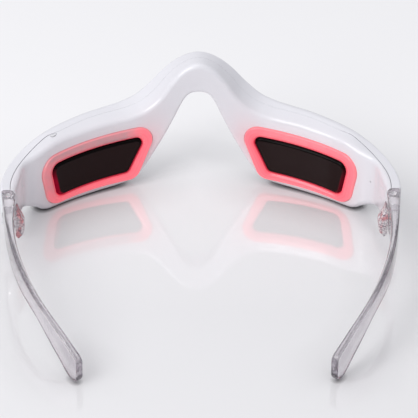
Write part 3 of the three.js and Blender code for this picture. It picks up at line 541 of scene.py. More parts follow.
def pipe_way(gap=0.06):
    """A cutter round the light pipe, a little wider than the pipe."""
    low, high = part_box("status_light_pipe")
    middle, size = (low + high) / 2, high - low
    mesh = nodes["status_light_pipe"].data.copy()
    for vertex in mesh.vertices:
        off = vertex.co - middle
        vertex.co = middle + Vector(off[i] * (1 + 2 * gap * MM / size[i]) for i in range(3))
    return cutter(mesh)


# Four small pits left by the mould's ejector pins, as reach, level, half length and half height
MOULD_PITS = ((76.3, 17.1, 0.42, 0.42), (88.5, 21.7, 1.2, 0.48), (87.2, 15.9, 1.0, 0.42),
              (-80.7, 18.4, 0.7, 0.5))
PIT_PROFILE = ((1, -3), (1, 0.9), (0.4, 1.3))
pits = []
for reach, level, half_long, half_high in MOULD_PITS:
    rings = []
    for share, depth in PIT_PROFILE:
        line = round_plan(1, 24) * (half_long * share, half_high * share)
        rings.append(on_face(reach + line[:, 0], level + line[:, 1], float(rear_depth(reach)) + depth))
    pits.append(cutter(loft_mesh(rings)))
rear_skin = carve(rear_shell, seat_cutters + [port_way(), pipe_way()] + pits)


SKIN_REACH = 0.04 * MM


def keep_skin_normals(thing, skin):
    """Gives a cut piece the smooth normals of its uncut skin, apart from the cut faces."""
    skin_tree = BVHTree.FromObject(skin, bpy.context.evaluated_depsgraph_get())
    skin_points = skin.data.vertices
    mesh = thing.data
    normals = [tuple(corner.vector) for corner in mesh.corner_normals]
    for polygon in mesh.polygons:
        _, skin_normal, _, gap = skin_tree.find_nearest(polygon.center)
        if gap > SKIN_REACH or polygon.normal.dot(skin_normal) < 0.9:
            continue
        for loop in polygon.loop_indices:
            at = mesh.vertices[mesh.loops[loop].vertex_index].co
            face = skin.data.polygons[skin_tree.find_nearest(at)[2]]
            blend, total = Vector((0, 0, 0)), 0
            for v in face.vertices:
                weight = 1 / ((skin_points[v].co - at).length + 1e-7)
                blend += skin_points[v].normal * weight
                total += weight
            normal = (blend / total).normalized()
            if normal.dot(polygon.normal) > 0.5:
                normals[loop] = tuple(normal)
    mesh.normals_split_custom_set(normals)


keep_skin_normals(rear_shell, rear_skin)
bpy.data.objects.remove(rear_skin)


def distance_to_line(points, line):
    """How far points lie outside a closed outline; inside counts as zero."""
    a, b = line, np.roll(line, -1, 0)
    ab = b - a
    t = ((points[:, None] - a) * ab).sum(2) / (ab * ab).sum(1)
    near = a + ab * np.clip(t, 0, 1)[..., None]
    gap = np.linalg.norm(points[:, None] - near, axis=2).min(1)
    crosses = ((a[:, 1] > points[:, None, 1]) != (b[:, 1] > points[:, None, 1])) & (
        points[:, None, 0] < a[:, 0] + (points[:, None, 1] - a[:, 1]) * ab[:, 0]
        / np.where(ab[:, 1] == 0, 1e-12, ab[:, 1]))
    return np.where(crosses.sum(1) % 2 == 1, 0, gap)


GLOW_REACH, GLOW_DEPTH, GLOW_ALL, GLOW_NOSE, GLOW_HINGE = 4.5, 5.0, 0.12, 0.6, 0.3


def add_ring_glow(mesh):
    """Stores how strongly the light ring tints each point of the shell around it: most toward the
    nose, where the wall is lit from inside."""
    points = np.zeros(len(mesh.vertices) * 3)
    mesh.vertices.foreach_get("co", points)
    points = points.reshape(-1, 3)
    s, depth = off_face(points)
    coarse = seat_line(ring_corners, RING_RADII, 0, 4, (3, 2, 3, 2))
    gap = distance_to_line(np.stack([np.abs(s), points[:, 2] / MM], -1), coarse)
    toward_nose, toward_hinge = ramp(np.abs(s), 26, -10), ramp(np.abs(s), 76, 8)
    side_weight = GLOW_ALL + GLOW_NOSE * toward_nose + GLOW_HINGE * toward_hinge
    strength = np.exp(-gap / (GLOW_REACH * (1 + 1.5 * toward_hinge))) * side_weight
    stored(mesh, "ring_glow", strength * (1 - ramp(depth, 0, GLOW_DEPTH)))


add_ring_glow(rear_shell.data)
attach(rear_shell, "frame")
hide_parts("rear_housing")

# Front cover. The white half on the far side, moulded in the same glossy ABS and snapped onto the
# rear housing. It has the hole of the power button and half of the charging inlet's mouth.
front_shell = piece("front_shell", loft_mesh(shell_rings(True)), white_shell)
BUTTON_REACH, BUTTON_LEVEL, BUTTON_RADIUS = LOBE_REACH - 24.8, 20.0, 3.3
button_face = float(frame_depth(BUTTON_REACH))


def turned_on_face(profile, reach, level, steps=72):
    """Rings of a turned piece whose axis stands square to the face, from its radii and depths."""
    x, y, nx, ny = (float(v) for v in face_at(reach))
    rings = []
    for radius, depth in profile:
        along, up = round_plan(radius, steps).T
        rings.append(np.stack([x + depth * nx + along * ny, y + depth * ny - along * nx + FACE_SHIFT,
                               level + up], -1) * MM)
    return rings


button_way = turned_on_face([(BUTTON_RADIUS + SEAM_GAP, d) for d in (button_face - 4, button_face + 3)],
                            BUTTON_REACH, BUTTON_LEVEL)
front_skin = carve(front_shell, [cutter(loft_mesh(button_way)), port_way()])
keep_skin_normals(front_shell, front_skin)
bpy.data.objects.remove(front_skin)
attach(front_shell, "frame")
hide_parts("front_cover")

# Power button. A white cap with a dished face, held behind the cover's wall by its flange. It
# presses the switch on the main board.
FLANGE_RADIUS, FLANGE_LEVELS = 4.2, (-2.7, -2.1)
BUTTON_PROUD, BUTTON_ROUND, DISH_RADIUS, DISH_DEPTH = 0.9, 0.45, 2.6, 0.4
profile = [(FLANGE_RADIUS, FLANGE_LEVELS[0]), (FLANGE_RADIUS, FLANGE_LEVELS[1])]
profile += [(BUTTON_RADIUS, FLANGE_LEVELS[1]), (BUTTON_RADIUS, BUTTON_PROUD - BUTTON_ROUND)]
profile += [(BUTTON_RADIUS - BUTTON_ROUND * (1 - math.cos(a)),
             BUTTON_PROUD - BUTTON_ROUND * (1 - math.sin(a))) for a in np.linspace(0.2, math.pi / 2, 6)]
profile += [(BUTTON_RADIUS - BUTTON_ROUND - share * DISH_RADIUS,
             BUTTON_PROUD - DISH_DEPTH * math.sin(share * math.pi / 2) ** 2)
            for share in np.arange(1, 13) / 12]
rings = turned_on_face([(radius, button_face + depth) for radius, depth in profile], BUTTON_REACH,
                       BUTTON_LEVEL)
button = piece("button_cap", loft_mesh(rings), white_shell, 35)
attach(button, "power_button")
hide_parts("power_button")

# Light rings. Translucent pink silicone rings, lit red from behind, pressed into their seats. The
# face is crowned and stands 0.9 mm proud of the housing, brightest along its two edges.
SIDES = (("left", -1), ("right", 1))
RING_PROUD, RING_BACK, RING_CROWN, RING_FOOT = 0.9, 1.1, 0.86, 0.9
RIGHT_GLOW, RIGHT_DULL, LEFT_GLOW, LEFT_DULL, END_DULL = 0.98, 0.12, 0.95, 0.85, 0.5
WINDOW_REACH, WINDOW_LEVEL, WINDOW_RADII = (21.6, 65.0), (5.6, 23.0), [3.4, 2.6, 2.6, 3.6]
WINDOW_TOP_FALL, WINDOW_LOW_FALL, WINDOW_INNER_LEAN, WINDOW_OUTER_LEAN = 2.7, 1.5, 7.6, 3.2
window_corners = lobe_corners(WINDOW_REACH, WINDOW_LEVEL, WINDOW_TOP_FALL, -WINDOW_LOW_FALL / 2,
                              WINDOW_LOW_FALL, WINDOW_INNER_LEAN, WINDOW_OUTER_LEAN)


def window_line(distance):
    return seat_line(window_corners, WINDOW_RADII, distance)


light_ring, wires, shader, mottle = new_finish("light_ring", 0.08, 0.06, 260.0)
across = wires.read("across")
glow_ramp = wires.add("ShaderNodeValToRGB", {"Fac": across})
for place, colour in ((0.06, (0.9, 0.05, 0.09, 1)), (0.2, (1.0, 0.1, 0.14, 1)),
                      (0.42, (1.0, 0.16, 0.2, 1)), (0.5, (0.98, 0.09, 0.13, 1)),
                      (0.58, (1.0, 0.17, 0.21, 1)), (0.86, (1.0, 0.17, 0.21, 1))):
    glow_ramp.color_ramp.elements.new(place).color = colour
glow_ramp.color_ramp.elements[0].color = (0.72, 0.01, 0.04, 1)
glow_ramp.color_ramp.elements[-1].color = (1.0, 0.30, 0.32, 1)
outer_rim = wires.maths("MULTIPLY", wires.ranged(across, 0.86, 0.97), 0.42)
rim = wires.maths("MAXIMUM", outer_rim, wires.ranged(across, 0.16, 0.04))
varied = wires.maths("ADD", wires.read("lit"), wires.ranged(mottle, 0.3, 0.7, -0.1, 0.1))
lit = wires.maths("MAXIMUM", varied, rim, clamp=True)
wires.feed(shader, {
    "Base Color": wires.mixed(lit, (0.56, 0.34, 0.36, 1), (0.74, 0.12, 0.155, 1)),
    "Emission Color": wires.mixed(lit, (0.12, 0.0, 0.005, 1), glow_ramp.outputs["Color"]),
    "Emission Strength": 0.5, "Roughness": 0.28, "Coat Weight": 0.25, "Coat Roughness": 0.1,
})


def ring_lit(side, line):
    """How strongly each point of a ring glows: the left ring stays dull along its top."""
    along_top = ramp(line[:, 1], 19.0, 5.0) * ramp(line[:, 0], 22.0, 9.0)
    if side > 0:
        return RIGHT_GLOW - RIGHT_DULL * along_top
    outer_end = ramp(line[:, 0], 56.0, 8.0) * np.clip(line[:, 1] / 12.0, 0.3, 1)
    return LEFT_GLOW - np.maximum(LEFT_DULL * along_top, END_DULL * outer_end)


for word, side in SIDES:
    inner, outer = window_line(SEAM_GAP), ring_line(0)
    rows = []
    for u in np.linspace(0, RING_CROWN, 20):
        rows.append((u, inner + (outer - inner) * u, -RING_PROUD * math.sin(min(1, u / 0.5) * math.pi / 2)))
    for turn in np.arange(1, 9) / 8 * math.pi / 2:
        u = RING_CROWN + (1 - RING_CROWN) * math.sin(turn)
        rows.append((u, inner + (outer - inner) * u, -RING_PROUD * math.cos(turn)))
    foot = window_line(-RING_FOOT)
    rows += [(1, outer, RING_BACK), (1, ring_line(-RING_LEDGE), RING_BACK), (0, foot, RING_BACK + 0.3),
             (0, foot, RING_BACK + 0.1), (0, inner, RING_BACK + 0.1)]
    mesh = loft_mesh([laid(line, side, depth) for _, line, depth in rows], closed=True)
    stored(mesh, "across", np.repeat([u for u, _, _ in rows], len(inner)))
    stored(mesh, "lit", np.concatenate([ring_lit(side, line) for _, line, _ in rows]))
    ring = piece(f"{word}_ring", mesh, light_ring, 60)
    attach(ring, "frame")
    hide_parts(f"{word}_light_ring")

# Windows. Near-black tinted polycarbonate, polished, with a bevel all round, seated inside the
# rings over the light emitters.
WINDOW_PROUD, WINDOW_BEVEL, WINDOW_BACK, WINDOW_RIM, WINDOW_EASE = 0.7, 1.3, 1.2, 0.25, 0.06
LEFT_PAINTED_GLOW, RIGHT_PAINTED_GLOW = 1.0, 0.35
tinted_window, wires, shader, mottle = new_finish("tinted_window", 0.03, 0.0, 150.0)
# Painted light: each window's low outer corner glows red by emission, more on the left window than on the
# right.
painted_glow = wires.read("painted_glow")
depth = wires.mixed(wires.read("bevel"), (0.017, 0.008, 0.008, 1), (0.002, 0.001, 0.001, 1))
wires.feed(shader, {
    "Base Color": wires.mixed(painted_glow, depth, (0.10, 0.0, 0.006, 1)),
    "Emission Color": wires.mixed(painted_glow, (0, 0, 0, 1), (0.30, 0.0, 0.02, 1)), "Emission Strength": 0.5,
    "Roughness": wires.ranged(mottle, 0, 1, 0.1, 0.2), "Specular IOR Level": 0.06,
})


def window_mesh(side):
    """A lens that follows the face, with a bevelled rim."""
    rows = [(window_line(0), WINDOW_BACK, 1.0), (window_line(0), WINDOW_RIM + 0.1, 1.0),
            (window_line(-WINDOW_EASE), WINDOW_RIM, 1.0)]
    for k in range(1, 6):
        turn = k / 5 * math.pi / 2
        line = window_line(-WINDOW_EASE - (WINDOW_BEVEL - WINDOW_EASE) * k / 5)
        rise = (WINDOW_PROUD + WINDOW_RIM) * math.sin(turn) ** 0.8
        rows.append((line, WINDOW_RIM - rise, 1.0 if k < 5 else 0.4))
    rows.append((window_line(-WINDOW_BEVEL - 0.3), -WINDOW_PROUD, 0.0))
    mesh = loft_mesh([laid(line, side, depth) for line, depth, _ in rows], ladder=True)
    stored(mesh, "bevel", np.repeat([b for _, _, b in rows], len(rows[0][0])))
    # Painted glow, strongest in the low outer corner of the bevel.
    low_outer = [ramp(line[:, 0], WINDOW_REACH[1] - 6.0, 1.5) * ramp(line[:, 1], 19, -6) * bevel
                 for line, _, bevel in rows]
    stored(mesh, "painted_glow", np.concatenate(low_outer) * (LEFT_PAINTED_GLOW if side < 0 else RIGHT_PAINTED_GLOW))
    return mesh


for word, side in SIDES:
    window = piece(f"{word}_glass", window_mesh(side), tinted_window, 35)
    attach(window, "frame")
    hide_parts(f"{word}_window")

# Hinge tongues. Two clear lugs on the rear housing's ends. Each runs between the two ears of its
# temple and carries the hinge pin.
HINGE_X, HINGE_Y = 76.0, FACE_SHIFT - WRAP - 3.0
TONGUE_HALF, TONGUE_LEVELS, TONGUE_ROOT, TONGUE_BEVEL = 1.7, (15.8, 22.4), 3.4, 0.25
PIN_HOLE_RADIUS, PIN_HOLE_LEVELS = 0.85, (10, 30)
clear_plastic, wires, shader, mottle = new_finish("clear_plastic", 0.05, 0.0, 140.0)
# Painted shade: the temples' colour darkens along painted streaks, edges, tips and cut faces, where clear
# plastic shows dark lines by refraction; only the first surface the camera sees is painted.
uneven = wires.ranged(wires.noise(wires.place(), 1500.0), 0.4, 0.6, 0.72, 1.2)
speckled = wires.maths("MULTIPLY", wires.read("painted_shade"), uneven)
thick = wires.maths("ADD", speckled, wires.ranged(mottle, 0.35, 0.65, -0.03, 0.07), clamp=True)
rays = wires.add("ShaderNodeLightPath").outputs
seen = wires.maths("MULTIPLY", thick, rays["Is Camera Ray"])
wires.feed(shader, {"Base Color": wires.mixed(seen, (0.99, 0.955, 0.985, 1), (0.10, 0.075, 0.11, 1)),
                    "Roughness": 0.03, "IOR": 1.45, "Transmission Weight": 0.86})


def at_hinge(points, side):
    """Points about a hinge axis in millimetres, x away from the middle, as metres in the row frame."""
    p = np.asarray(points, float)
    return np.stack([side * (HINGE_X + p[..., 0]), HINGE_Y + p[..., 1], p[..., 2]], -1) * MM


def upright(line, side, low, high, bevel=0.0, steps=4):
    """Rings of an upright prism at a hinge, with its two ends rounded by a bevel."""
    line = np.asarray(line, float)
    middle = line.mean(0)
    size = np.abs(line - middle).max(0)
    rings = []
    for end, way in ((low, 1), (high, -1)):
        for k in range(steps + 1 if bevel else 1):
            angle = (k if way > 0 else steps - k) / steps * math.pi / 2
            drawn = middle + (line - middle) * (1 - bevel * (1 - math.sin(angle)) / size)
            level = np.full((len(line), 1), end + way * bevel * (1 - math.cos(angle)))
            rings.append(at_hinge(np.hstack([drawn, level]), side))
    return rings


def upright_cutter(plan, side, low, high):
    return cutter(loft_mesh(upright(plan, side, low, high)))


for word, side in SIDES:
    half_turn = np.linspace(math.pi, 2 * math.pi, 33)
    plan = [(TONGUE_HALF * math.cos(a), TONGUE_HALF * math.sin(a)) for a in half_turn]
    plan += [(TONGUE_HALF, TONGUE_ROOT), (-TONGUE_HALF, TONGUE_ROOT)]
    rings = upright(plan, side, *TONGUE_LEVELS, bevel=TONGUE_BEVEL)
    tongue = piece(f"{word}_hinge_tongue", loft_mesh(rings), clear_plastic)
    hole = upright_cutter(round_plan(PIN_HOLE_RADIUS), side, *PIN_HOLE_LEVELS)
    bpy.data.objects.remove(carve(tongue, [hole]))
    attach(tongue, "frame")

# Temples. Clear polycarbonate arms, each moulded in one piece: forked and 5 mm thick at the hinge,
# thin as a blade after it, with a deeper tip that touches the table. Painted shade darkens the
# moulding where the eye runs along it, at its ends and edges, in place of its refraction's dark lines.
TEMPLE_THICK, TEMPLE_TOP, TEMPLE_REACH = 5.4, 26.0, 92.6
TEMPLE_STRAIGHT, TEMPLE_BEND_RADIUS, TEMPLE_EDGE = 15.4, 121.0, 1.0
TIP_LOW_RADIUS, TIP_TOP_RADIUS, TIP_ROUND = 7.0, 3.0, 1.55
FIT, PIN_HEAD_RADIUS, PIN_HEAD_HEIGHT = 0.3, 1.2, 0.8
EAR_CUT_OUT, SLOT_OUT, SLOT_FRONT, CUT_FOOT, CUT_TOP = 3.5, 4, 5, -2, 30
TEMPLE_SHARES = np.array([
    (0, 1, 1, 0.5), (0.12, 0.79, 1.01, 0.54), (0.3, 0.51, 1.015, 0.575), (0.5, 0.455, 0.955, 0.57),
    (0.7, 0.43, 0.825, 0.5), (0.85, 0.47, 0.69, 0.25), (0.93, 0.53, 0.565, 0.06), (1, 0.6, 0.43, -0.066),
])
ARC_STEPS, FLAT_STEPS = 8, (24, 10, 24, 4)
temple_front = TEMPLE_THICK / 2
plan_turn = math.asin((TEMPLE_REACH - TEMPLE_STRAIGHT) / TEMPLE_BEND_RADIUS)
plan_length = temple_front + TEMPLE_STRAIGHT + TEMPLE_BEND_RADIUS * plan_turn
temple_table = np.array([smooth_row(TEMPLE_SHARES, k / 2000) for k in range(2001)])


def corner_lift(radius, from_end):
    """How much a round end of some radius has drawn an edge in, near the end."""
    into = max(0, radius - from_end)
    return radius - math.sqrt(radius * radius - into * into)


def temple_ring(along):
    """The outline of a temple's cross-section at a share of its length, about its hinge."""
    wide, top, low = (np.interp(along, temple_table[:, 0], temple_table[:, i]) for i in (1, 2, 3))
    from_end = (1 - along) * plan_length
    past = along * plan_length - temple_front - TEMPLE_STRAIGHT
    turn = max(0, past) / TEMPLE_BEND_RADIUS
    x = -temple_front - TEMPLE_BEND_RADIUS * (1 - math.cos(turn))
    y = -TEMPLE_STRAIGHT - TEMPLE_BEND_RADIUS * math.sin(turn) if past > 0 else (
        temple_front - along * plan_length)
    wide = wide * TEMPLE_THICK
    top = top * TEMPLE_TOP - corner_lift(TIP_TOP_RADIUS, from_end)
    low = low * TEMPLE_TOP + corner_lift(TIP_LOW_RADIUS, from_end)
    narrow = corner_lift(TIP_ROUND, from_end)
    corners = [(wide - narrow, low + narrow), (wide - narrow, top - narrow), (narrow, top - narrow),
               (narrow, low + narrow)]
    radius = max(0.05, min(TEMPLE_EDGE, (wide / 2 - narrow) * 0.9))
    line = rounded_outline(corners, [radius] * 4, ARC_STEPS, FLAT_STEPS)
    return np.stack([x + line[:, 0] * math.cos(turn), y - line[:, 0] * math.sin(turn),
                     np.maximum(line[:, 1], 0)], -1)


# How much painted shade darkens a temple's ring by the share of each side, for refraction's dark
# lines. The outer side is streaked as far as the bend and clears to a pale leaf toward the tip.
PAINTED_SHADE_AT = (0, 0.08, 0.16, 0.26, 0.38, 0.46, 0.56, 0.66, 0.76, 0.84, 0.92, 1)
OUTER_STREAKED = (1, 0.6, 0.35, 0.4, 0.5, 0.4, 0.3, 0.5, 0.35, 0.6, 0.85, 0.95)
OUTER_LEAF = (1, 0.6, 0.3, 0.25, 0.22, 0.25, 0.32, 0.4, 0.42, 0.4, 0.5, 0.1)
TOP_STREAKS = (0.75, 0.6, 0.5, 0.4, 0.2, 0.05, 0.1, 0.35, 0.25, 0, 0, 0)
INNER_STREAKS = (0.0, 0.5, 0.1, 0.1, 0.15, 0.12, 0.1, 0.12, 0.2, 0.15, 0.4, 0.95)
UNDER_STREAKS = (0.8, 0.5, 0.4, 0.4, 0.4, 0.4, 0.4, 0.4, 0.4, 0.4, 0.5, 0.8)
TIP_PAINTED_SHADE, CUT_PAINTED_SHADE, PAINTED_SHADE_GAP = 0.85, 0.6, 0.6 * MM


def temple_painted_shade(along):
    """How much painted shade each point of a temple's ring gets: streaks along it, its front rim and its tip.
    """
    from_end, from_front = (1 - along) * plan_length, along * plan_length
    tip = TIP_PAINTED_SHADE * ramp(from_end, TIP_ROUND - 0.1, -0.5)
    rim = ramp(from_front, 0.6, -0.25)
    leaf = np.interp(along, (0.4, 0.62), (0, 1))
    pale = np.interp(along, (0, 0.1, 0.3), (0.15, 0.25, 1))
    edges = (1.0, np.interp(along, (0, 0.6, 0.78), (0.95, 0.75, 0.05)),
             np.interp(along, (0, 0.12, 0.6, 0.8), (0.6, 0.1, 0.05, 0.9)), 1.0)
    outer = np.array(OUTER_STREAKED) * (1 - leaf) + np.array(OUTER_LEAF) * leaf
    values = []
    for side, row in enumerate((outer, TOP_STREAKS, INNER_STREAKS, UNDER_STREAKS)):
        flat = FLAT_STEPS[side]
        values += list(np.linspace(edges[side], row[0] * pale, ARC_STEPS + 1))
        values += list(np.interp(np.arange(1, flat) / flat, PAINTED_SHADE_AT, row) * pale)
    return np.maximum(values, max(tip, rim))


def keep_painted_shade(thing, skin, on_cuts):
    """Copies the painted shade of the uncut skin to a cut piece, and sets it on the cut faces."""
    place = KDTree(len(skin.data.vertices))
    for i, vertex in enumerate(skin.data.vertices):
        place.insert(vertex.co, i)
    place.balance()
    known = np.zeros(len(skin.data.vertices))
    skin.data.attributes["painted_shade"].data.foreach_get("value", known)
    values = []
    for vertex in thing.data.vertices:
        _, index, gap = place.find(vertex.co)
        values.append(known[index] if gap < PAINTED_SHADE_GAP else on_cuts)
    if "painted_shade" in thing.data.attributes:
        thing.data.attributes.remove(thing.data.attributes["painted_shade"])
    stored(thing.data, "painted_shade", values)


along_rows = [d / plan_length for d in (0, 0.1, 0.25, 0.5)]
along_rows += list(np.linspace(1.2 / plan_length, 1 - 6.0 / plan_length, 110))
along_rows += [1 - d / plan_length for d in (5.2, 4.4, 3.7, 3.0, 2.4, 1.9, 1.5, 1.2, 0.95, 0.7, 0.5,
                                              0.34, 0.2, 0.09, 0.02, 0.0)]
slot_half, slot_levels = TONGUE_HALF + FIT, (TONGUE_LEVELS[0] - FIT, TONGUE_LEVELS[1] + FIT)
for word, side in SIDES:
    mesh = loft_mesh([at_hinge(temple_ring(a), side) for a in along_rows])
    stored(mesh, "painted_shade", np.concatenate([temple_painted_shade(a) for a in along_rows]))
    temple = piece(f"{word}_arm", mesh, clear_plastic, 35)
    quarter = [(-EAR_CUT_OUT, 0), (-temple_front, 0)]
    quarter += [(temple_front * math.cos(a), temple_front * math.sin(a))
                for a in np.linspace(math.pi, math.pi / 2, 20)[1:]]
    quarter += [(0, EAR_CUT_OUT), (-EAR_CUT_OUT, EAR_CUT_OUT)]
    slot = [(-SLOT_OUT, -slot_half), (SLOT_OUT, -slot_half), (SLOT_OUT, SLOT_FRONT), (-SLOT_OUT, SLOT_FRONT)]
    head_way = round_plan(PIN_HEAD_RADIUS + FIT)
    cutters = [upright_cutter(slot, side, *slot_levels), upright_cutter(quarter, side, CUT_FOOT, CUT_TOP),
               upright_cutter(round_plan(PIN_HOLE_RADIUS), side, 5, CUT_TOP),
               upright_cutter(head_way, side, TEMPLE_TOP - PIN_HEAD_HEIGHT - 2 * FIT, CUT_TOP)]
    skin = carve(temple, cutters)
    keep_painted_shade(temple, skin, CUT_PAINTED_SHADE)
    keep_skin_normals(temple, skin)
    bpy.data.objects.remove(skin)
    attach(temple, f"{word}_temple")
    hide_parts(f"{word}_temple")

# Hinge pins. Steel pins pressed down through the upper ear, the tongue and the lower ear, each with
# a low crowned head that lies in a recess of the temple's top.
PIN_RADIUS, PIN_CHAMFER, PIN_HEAD_CROWN, PIN_MARK_RADIUS, PIN_MARK_DEPTH = 0.75, 0.15, 0.3, 0.5, 0.12
bright_steel, wires, shader, mottle = new_finish("bright_steel", 0.1, 0.2, 1500.0)
wires.feed(shader, {"Base Color": (0.92, 0.89, 0.91, 1), "Metallic": 1.0,
                    "Roughness": wires.ranged(mottle, 0, 1, 0.16, 0.34)})


def crowned(radius, foot, top, crown, steps=6):
    """The profile of a head whose rim is rounded into its top."""
    return [(radius, foot)] + [(radius - crown * (1 - math.cos(a)), top - crown + crown * math.sin(a))
                               for a in np.linspace(0, math.pi / 2, steps)]


for word, side in SIDES:
    low, high = (c.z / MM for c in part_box(f"{word}_hinge_pin"))
    profile = [(PIN_RADIUS - PIN_CHAMFER, low), (PIN_RADIUS, low + PIN_CHAMFER),
               (PIN_RADIUS, high - PIN_HEAD_HEIGHT)]
    profile += crowned(PIN_HEAD_RADIUS, high - PIN_HEAD_HEIGHT, high, PIN_HEAD_CROWN)
    profile += [(PIN_MARK_RADIUS, high), (PIN_MARK_RADIUS - 0.08, high - PIN_MARK_DEPTH)]
    rings = [at_hinge(np.hstack([round_plan(r, 40), np.full((40, 1), z)]), side) for r, z in profile]
    pin = piece(f"{word}_pin", loft_mesh(rings), bright_steel, 40)
    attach(pin, f"{word}_temple")
    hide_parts(f"{word}_hinge_pin")

# Hinge blocks. Clear moulded gussets on the inside of each temple, leaf-shaped and thickest at their
# screws. Their pebbled faces break up the light; their colour carries painted red reflections of the
# rings in patches, painted shade in the borders of small cells, and a painted dark rim at top and foot.
BLOCK_TOP, BLOCK_FOOT, BLOCK_LENGTH, BLOCK_SETBACK = 24.6, 11.4, 6.4, 4.0
BLOCK_BEVEL, PEBBLE, PEBBLE_SIZE = 1.1, 0.16, 0.75
BLOCK_RIM, RIM_PAINTED_SHADE, FLANK_PAINTED_SHADE = 1.2, 0.5, 0.05
BLOCK_THICKNESS = ((0, 1.3), (0.08, 2.6), (0.2, 3.4), (0.4, 3.7), (0.55, 3.5), (0.72, 2.5), (0.88, 1.4),
                   (1, 0.9))
clear_grained, wires, shader, _ = new_finish("clear_grained", 0.8, 0.3, 1300.0)
place = wires.place()
# Painted reflection and shade: random patches take the rings' red, and cell borders and the top and foot rims
# darken.
painted_ring_red = wires.ranged(wires.noise(place, 330.0), 0.46, 0.6)
tint = wires.mixed(painted_ring_red, (0.96, 0.93, 0.95, 1), (0.92, 0.40, 0.42, 1))
cells = wires.add("ShaderNodeTexVoronoi", {"Vector": place, "Scale": 760.0}, feature="DISTANCE_TO_EDGE")
bright = wires.maths("MINIMUM", wires.ranged(cells.outputs["Distance"], 0.0, 0.09),
                     wires.maths("SUBTRACT", 1.0, wires.read("painted_shade")))
wires.feed(shader, {"Base Color": wires.mixed(bright, (0.12, 0.09, 0.14, 1), tint),
                    "Roughness": 0.08, "IOR": 1.45, "Transmission Weight": 0.35})
block_face = -temple_front - FIT
block_middle = -BLOCK_SETBACK - BLOCK_LENGTH / 2
block_at, block_thick = zip(*BLOCK_THICKNESS)
screw_levels = {place: sum(c.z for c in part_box(f"left_block_screw_{place}")) / 2 / MM
                for place in ("low", "high")}
SCREW_RADIUS, SCREW_HEAD_RADIUS, SCREW_HEAD_HEIGHT, SCREW_BITE = 0.5, 0.95, 0.6, 2.0
screw_seat = block_face - float(np.interp(0.3, block_at, block_thick)) + 0.15


def block_line(inset, steps=72):
    """The outline of a gusset seen along its temple, drawn in by an inset."""
    share = np.linspace(0, 1, steps)
    level = BLOCK_FOOT + inset + (BLOCK_TOP - BLOCK_FOOT - 2 * inset) * share
    thick = np.maximum(0.25, np.interp(share, block_at, block_thick) - inset)
    soft = np.array([thick[max(0, i - 3):i + 4].mean() for i in range(steps)])
    back = np.stack([np.full(12, block_face), np.linspace(level[-1], level[0], 14)[1:-1]], -1)
    return np.vstack([np.stack([block_face - soft, level], -1), back])


def lying_rings(profile, side, level, steps=40):
    """Rings of a turned piece that lies across a temple, from its radii and places."""
    rings = []
    for radius, reach in profile:
        plan = round_plan(radius, steps) + (block_middle, level)
        rings.append(at_hinge(np.hstack([np.full((steps, 1), reach), plan]), side))
    return rings


for word, side in SIDES:
    turns = np.linspace(0, math.pi / 2, 6)
    stations = [(1, a) for a in turns] + [(0, w) for w in np.linspace(0.93, -0.93, 19)]
    stations += [(-1, a) for a in turns[::-1]]
    rings, outline = [], []
    for way, a in stations:
        inset = BLOCK_BEVEL * (1 - math.sin(a)) if way else 0
        rise = BLOCK_BEVEL * (1 - math.cos(a)) if way else 0
        y = block_middle + (way * (BLOCK_LENGTH / 2 - rise) if way else a * (BLOCK_LENGTH / 2 - BLOCK_BEVEL))
        line = block_line(inset)
        ring = np.stack([line[:, 0], np.full(len(line), y), line[:, 1]], -1)
        for point in ring:
            if point[0] < block_face - 0.3:
                spot = Vector(point) / PEBBLE_SIZE
                point[0] += PEBBLE * (1 + noise.noise(spot))
                point[2] += PEBBLE * noise.noise(spot + Vector((9, 0, 0)))
        rings.append(at_hinge(ring, side))
        # Painted shade along the gusset's top and foot rims, and faintly on its bevelled flanks.
        low, high = ramp(line[:, 1], BLOCK_FOOT + BLOCK_RIM, -1), ramp(line[:, 1], BLOCK_TOP - BLOCK_RIM, 1)
        outline.append(np.maximum(np.maximum(low, high) * RIM_PAINTED_SHADE, FLANK_PAINTED_SHADE if inset > 0.4 else 0))
    mesh = loft_mesh(rings)
    stored(mesh, "painted_shade", np.concatenate(outline))
    block = piece(f"{word}_gusset", mesh, clear_grained, 35)
    ways = []
    for level in screw_levels.values():
        for radius, start in ((SCREW_HEAD_RADIUS + 0.15, screw_seat + SCREW_HEAD_HEIGHT),
                              (SCREW_RADIUS + 0.1, block_face + 1)):
            profile = [(radius, block_face - 5), (radius, start)]
            ways.append(cutter(loft_mesh(lying_rings(profile, side, level))))
    bpy.data.objects.remove(carve(block, ways))
    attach(block, f"{word}_temple")
    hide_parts(f"{word}_hinge_block")

# Block screws. Two steel screws through each gusset into its temple, with crowned heads sunk in the
# gusset and a hexagonal recess for the driver.
SCREW_THREAD, SCREW_PITCH, SCREW_CROWN, HEX_RADIUS, HEX_DEPTH = 0.07, 0.14, (0.35, 0.25), 0.42, 0.32
turn = np.linspace(0, 2 * math.pi, 40, endpoint=False)
hexagon = HEX_RADIUS * math.cos(math.pi / 6) / np.cos((turn % (math.pi / 3)) - math.pi / 6)
head_foot, tip = screw_seat + SCREW_HEAD_HEIGHT, block_face + SCREW_BITE
profile = [(SCREW_RADIUS * 0.6, tip), (SCREW_RADIUS, tip - 0.3)]
profile += [(SCREW_RADIUS - SCREW_THREAD * (i % 2), float(x))
            for i, x in enumerate(np.arange(tip - 0.4, head_foot + 0.3, -SCREW_PITCH))]
profile += [(SCREW_RADIUS, head_foot), (SCREW_HEAD_RADIUS, head_foot)]
profile += [(SCREW_HEAD_RADIUS - SCREW_CROWN[0] * (1 - math.cos(a)),
             screw_seat + SCREW_CROWN[1] * (1 - math.sin(a))) for a in np.linspace(0, math.pi / 2, 6)]
profile += [(hexagon, screw_seat), (hexagon, screw_seat + HEX_DEPTH)]
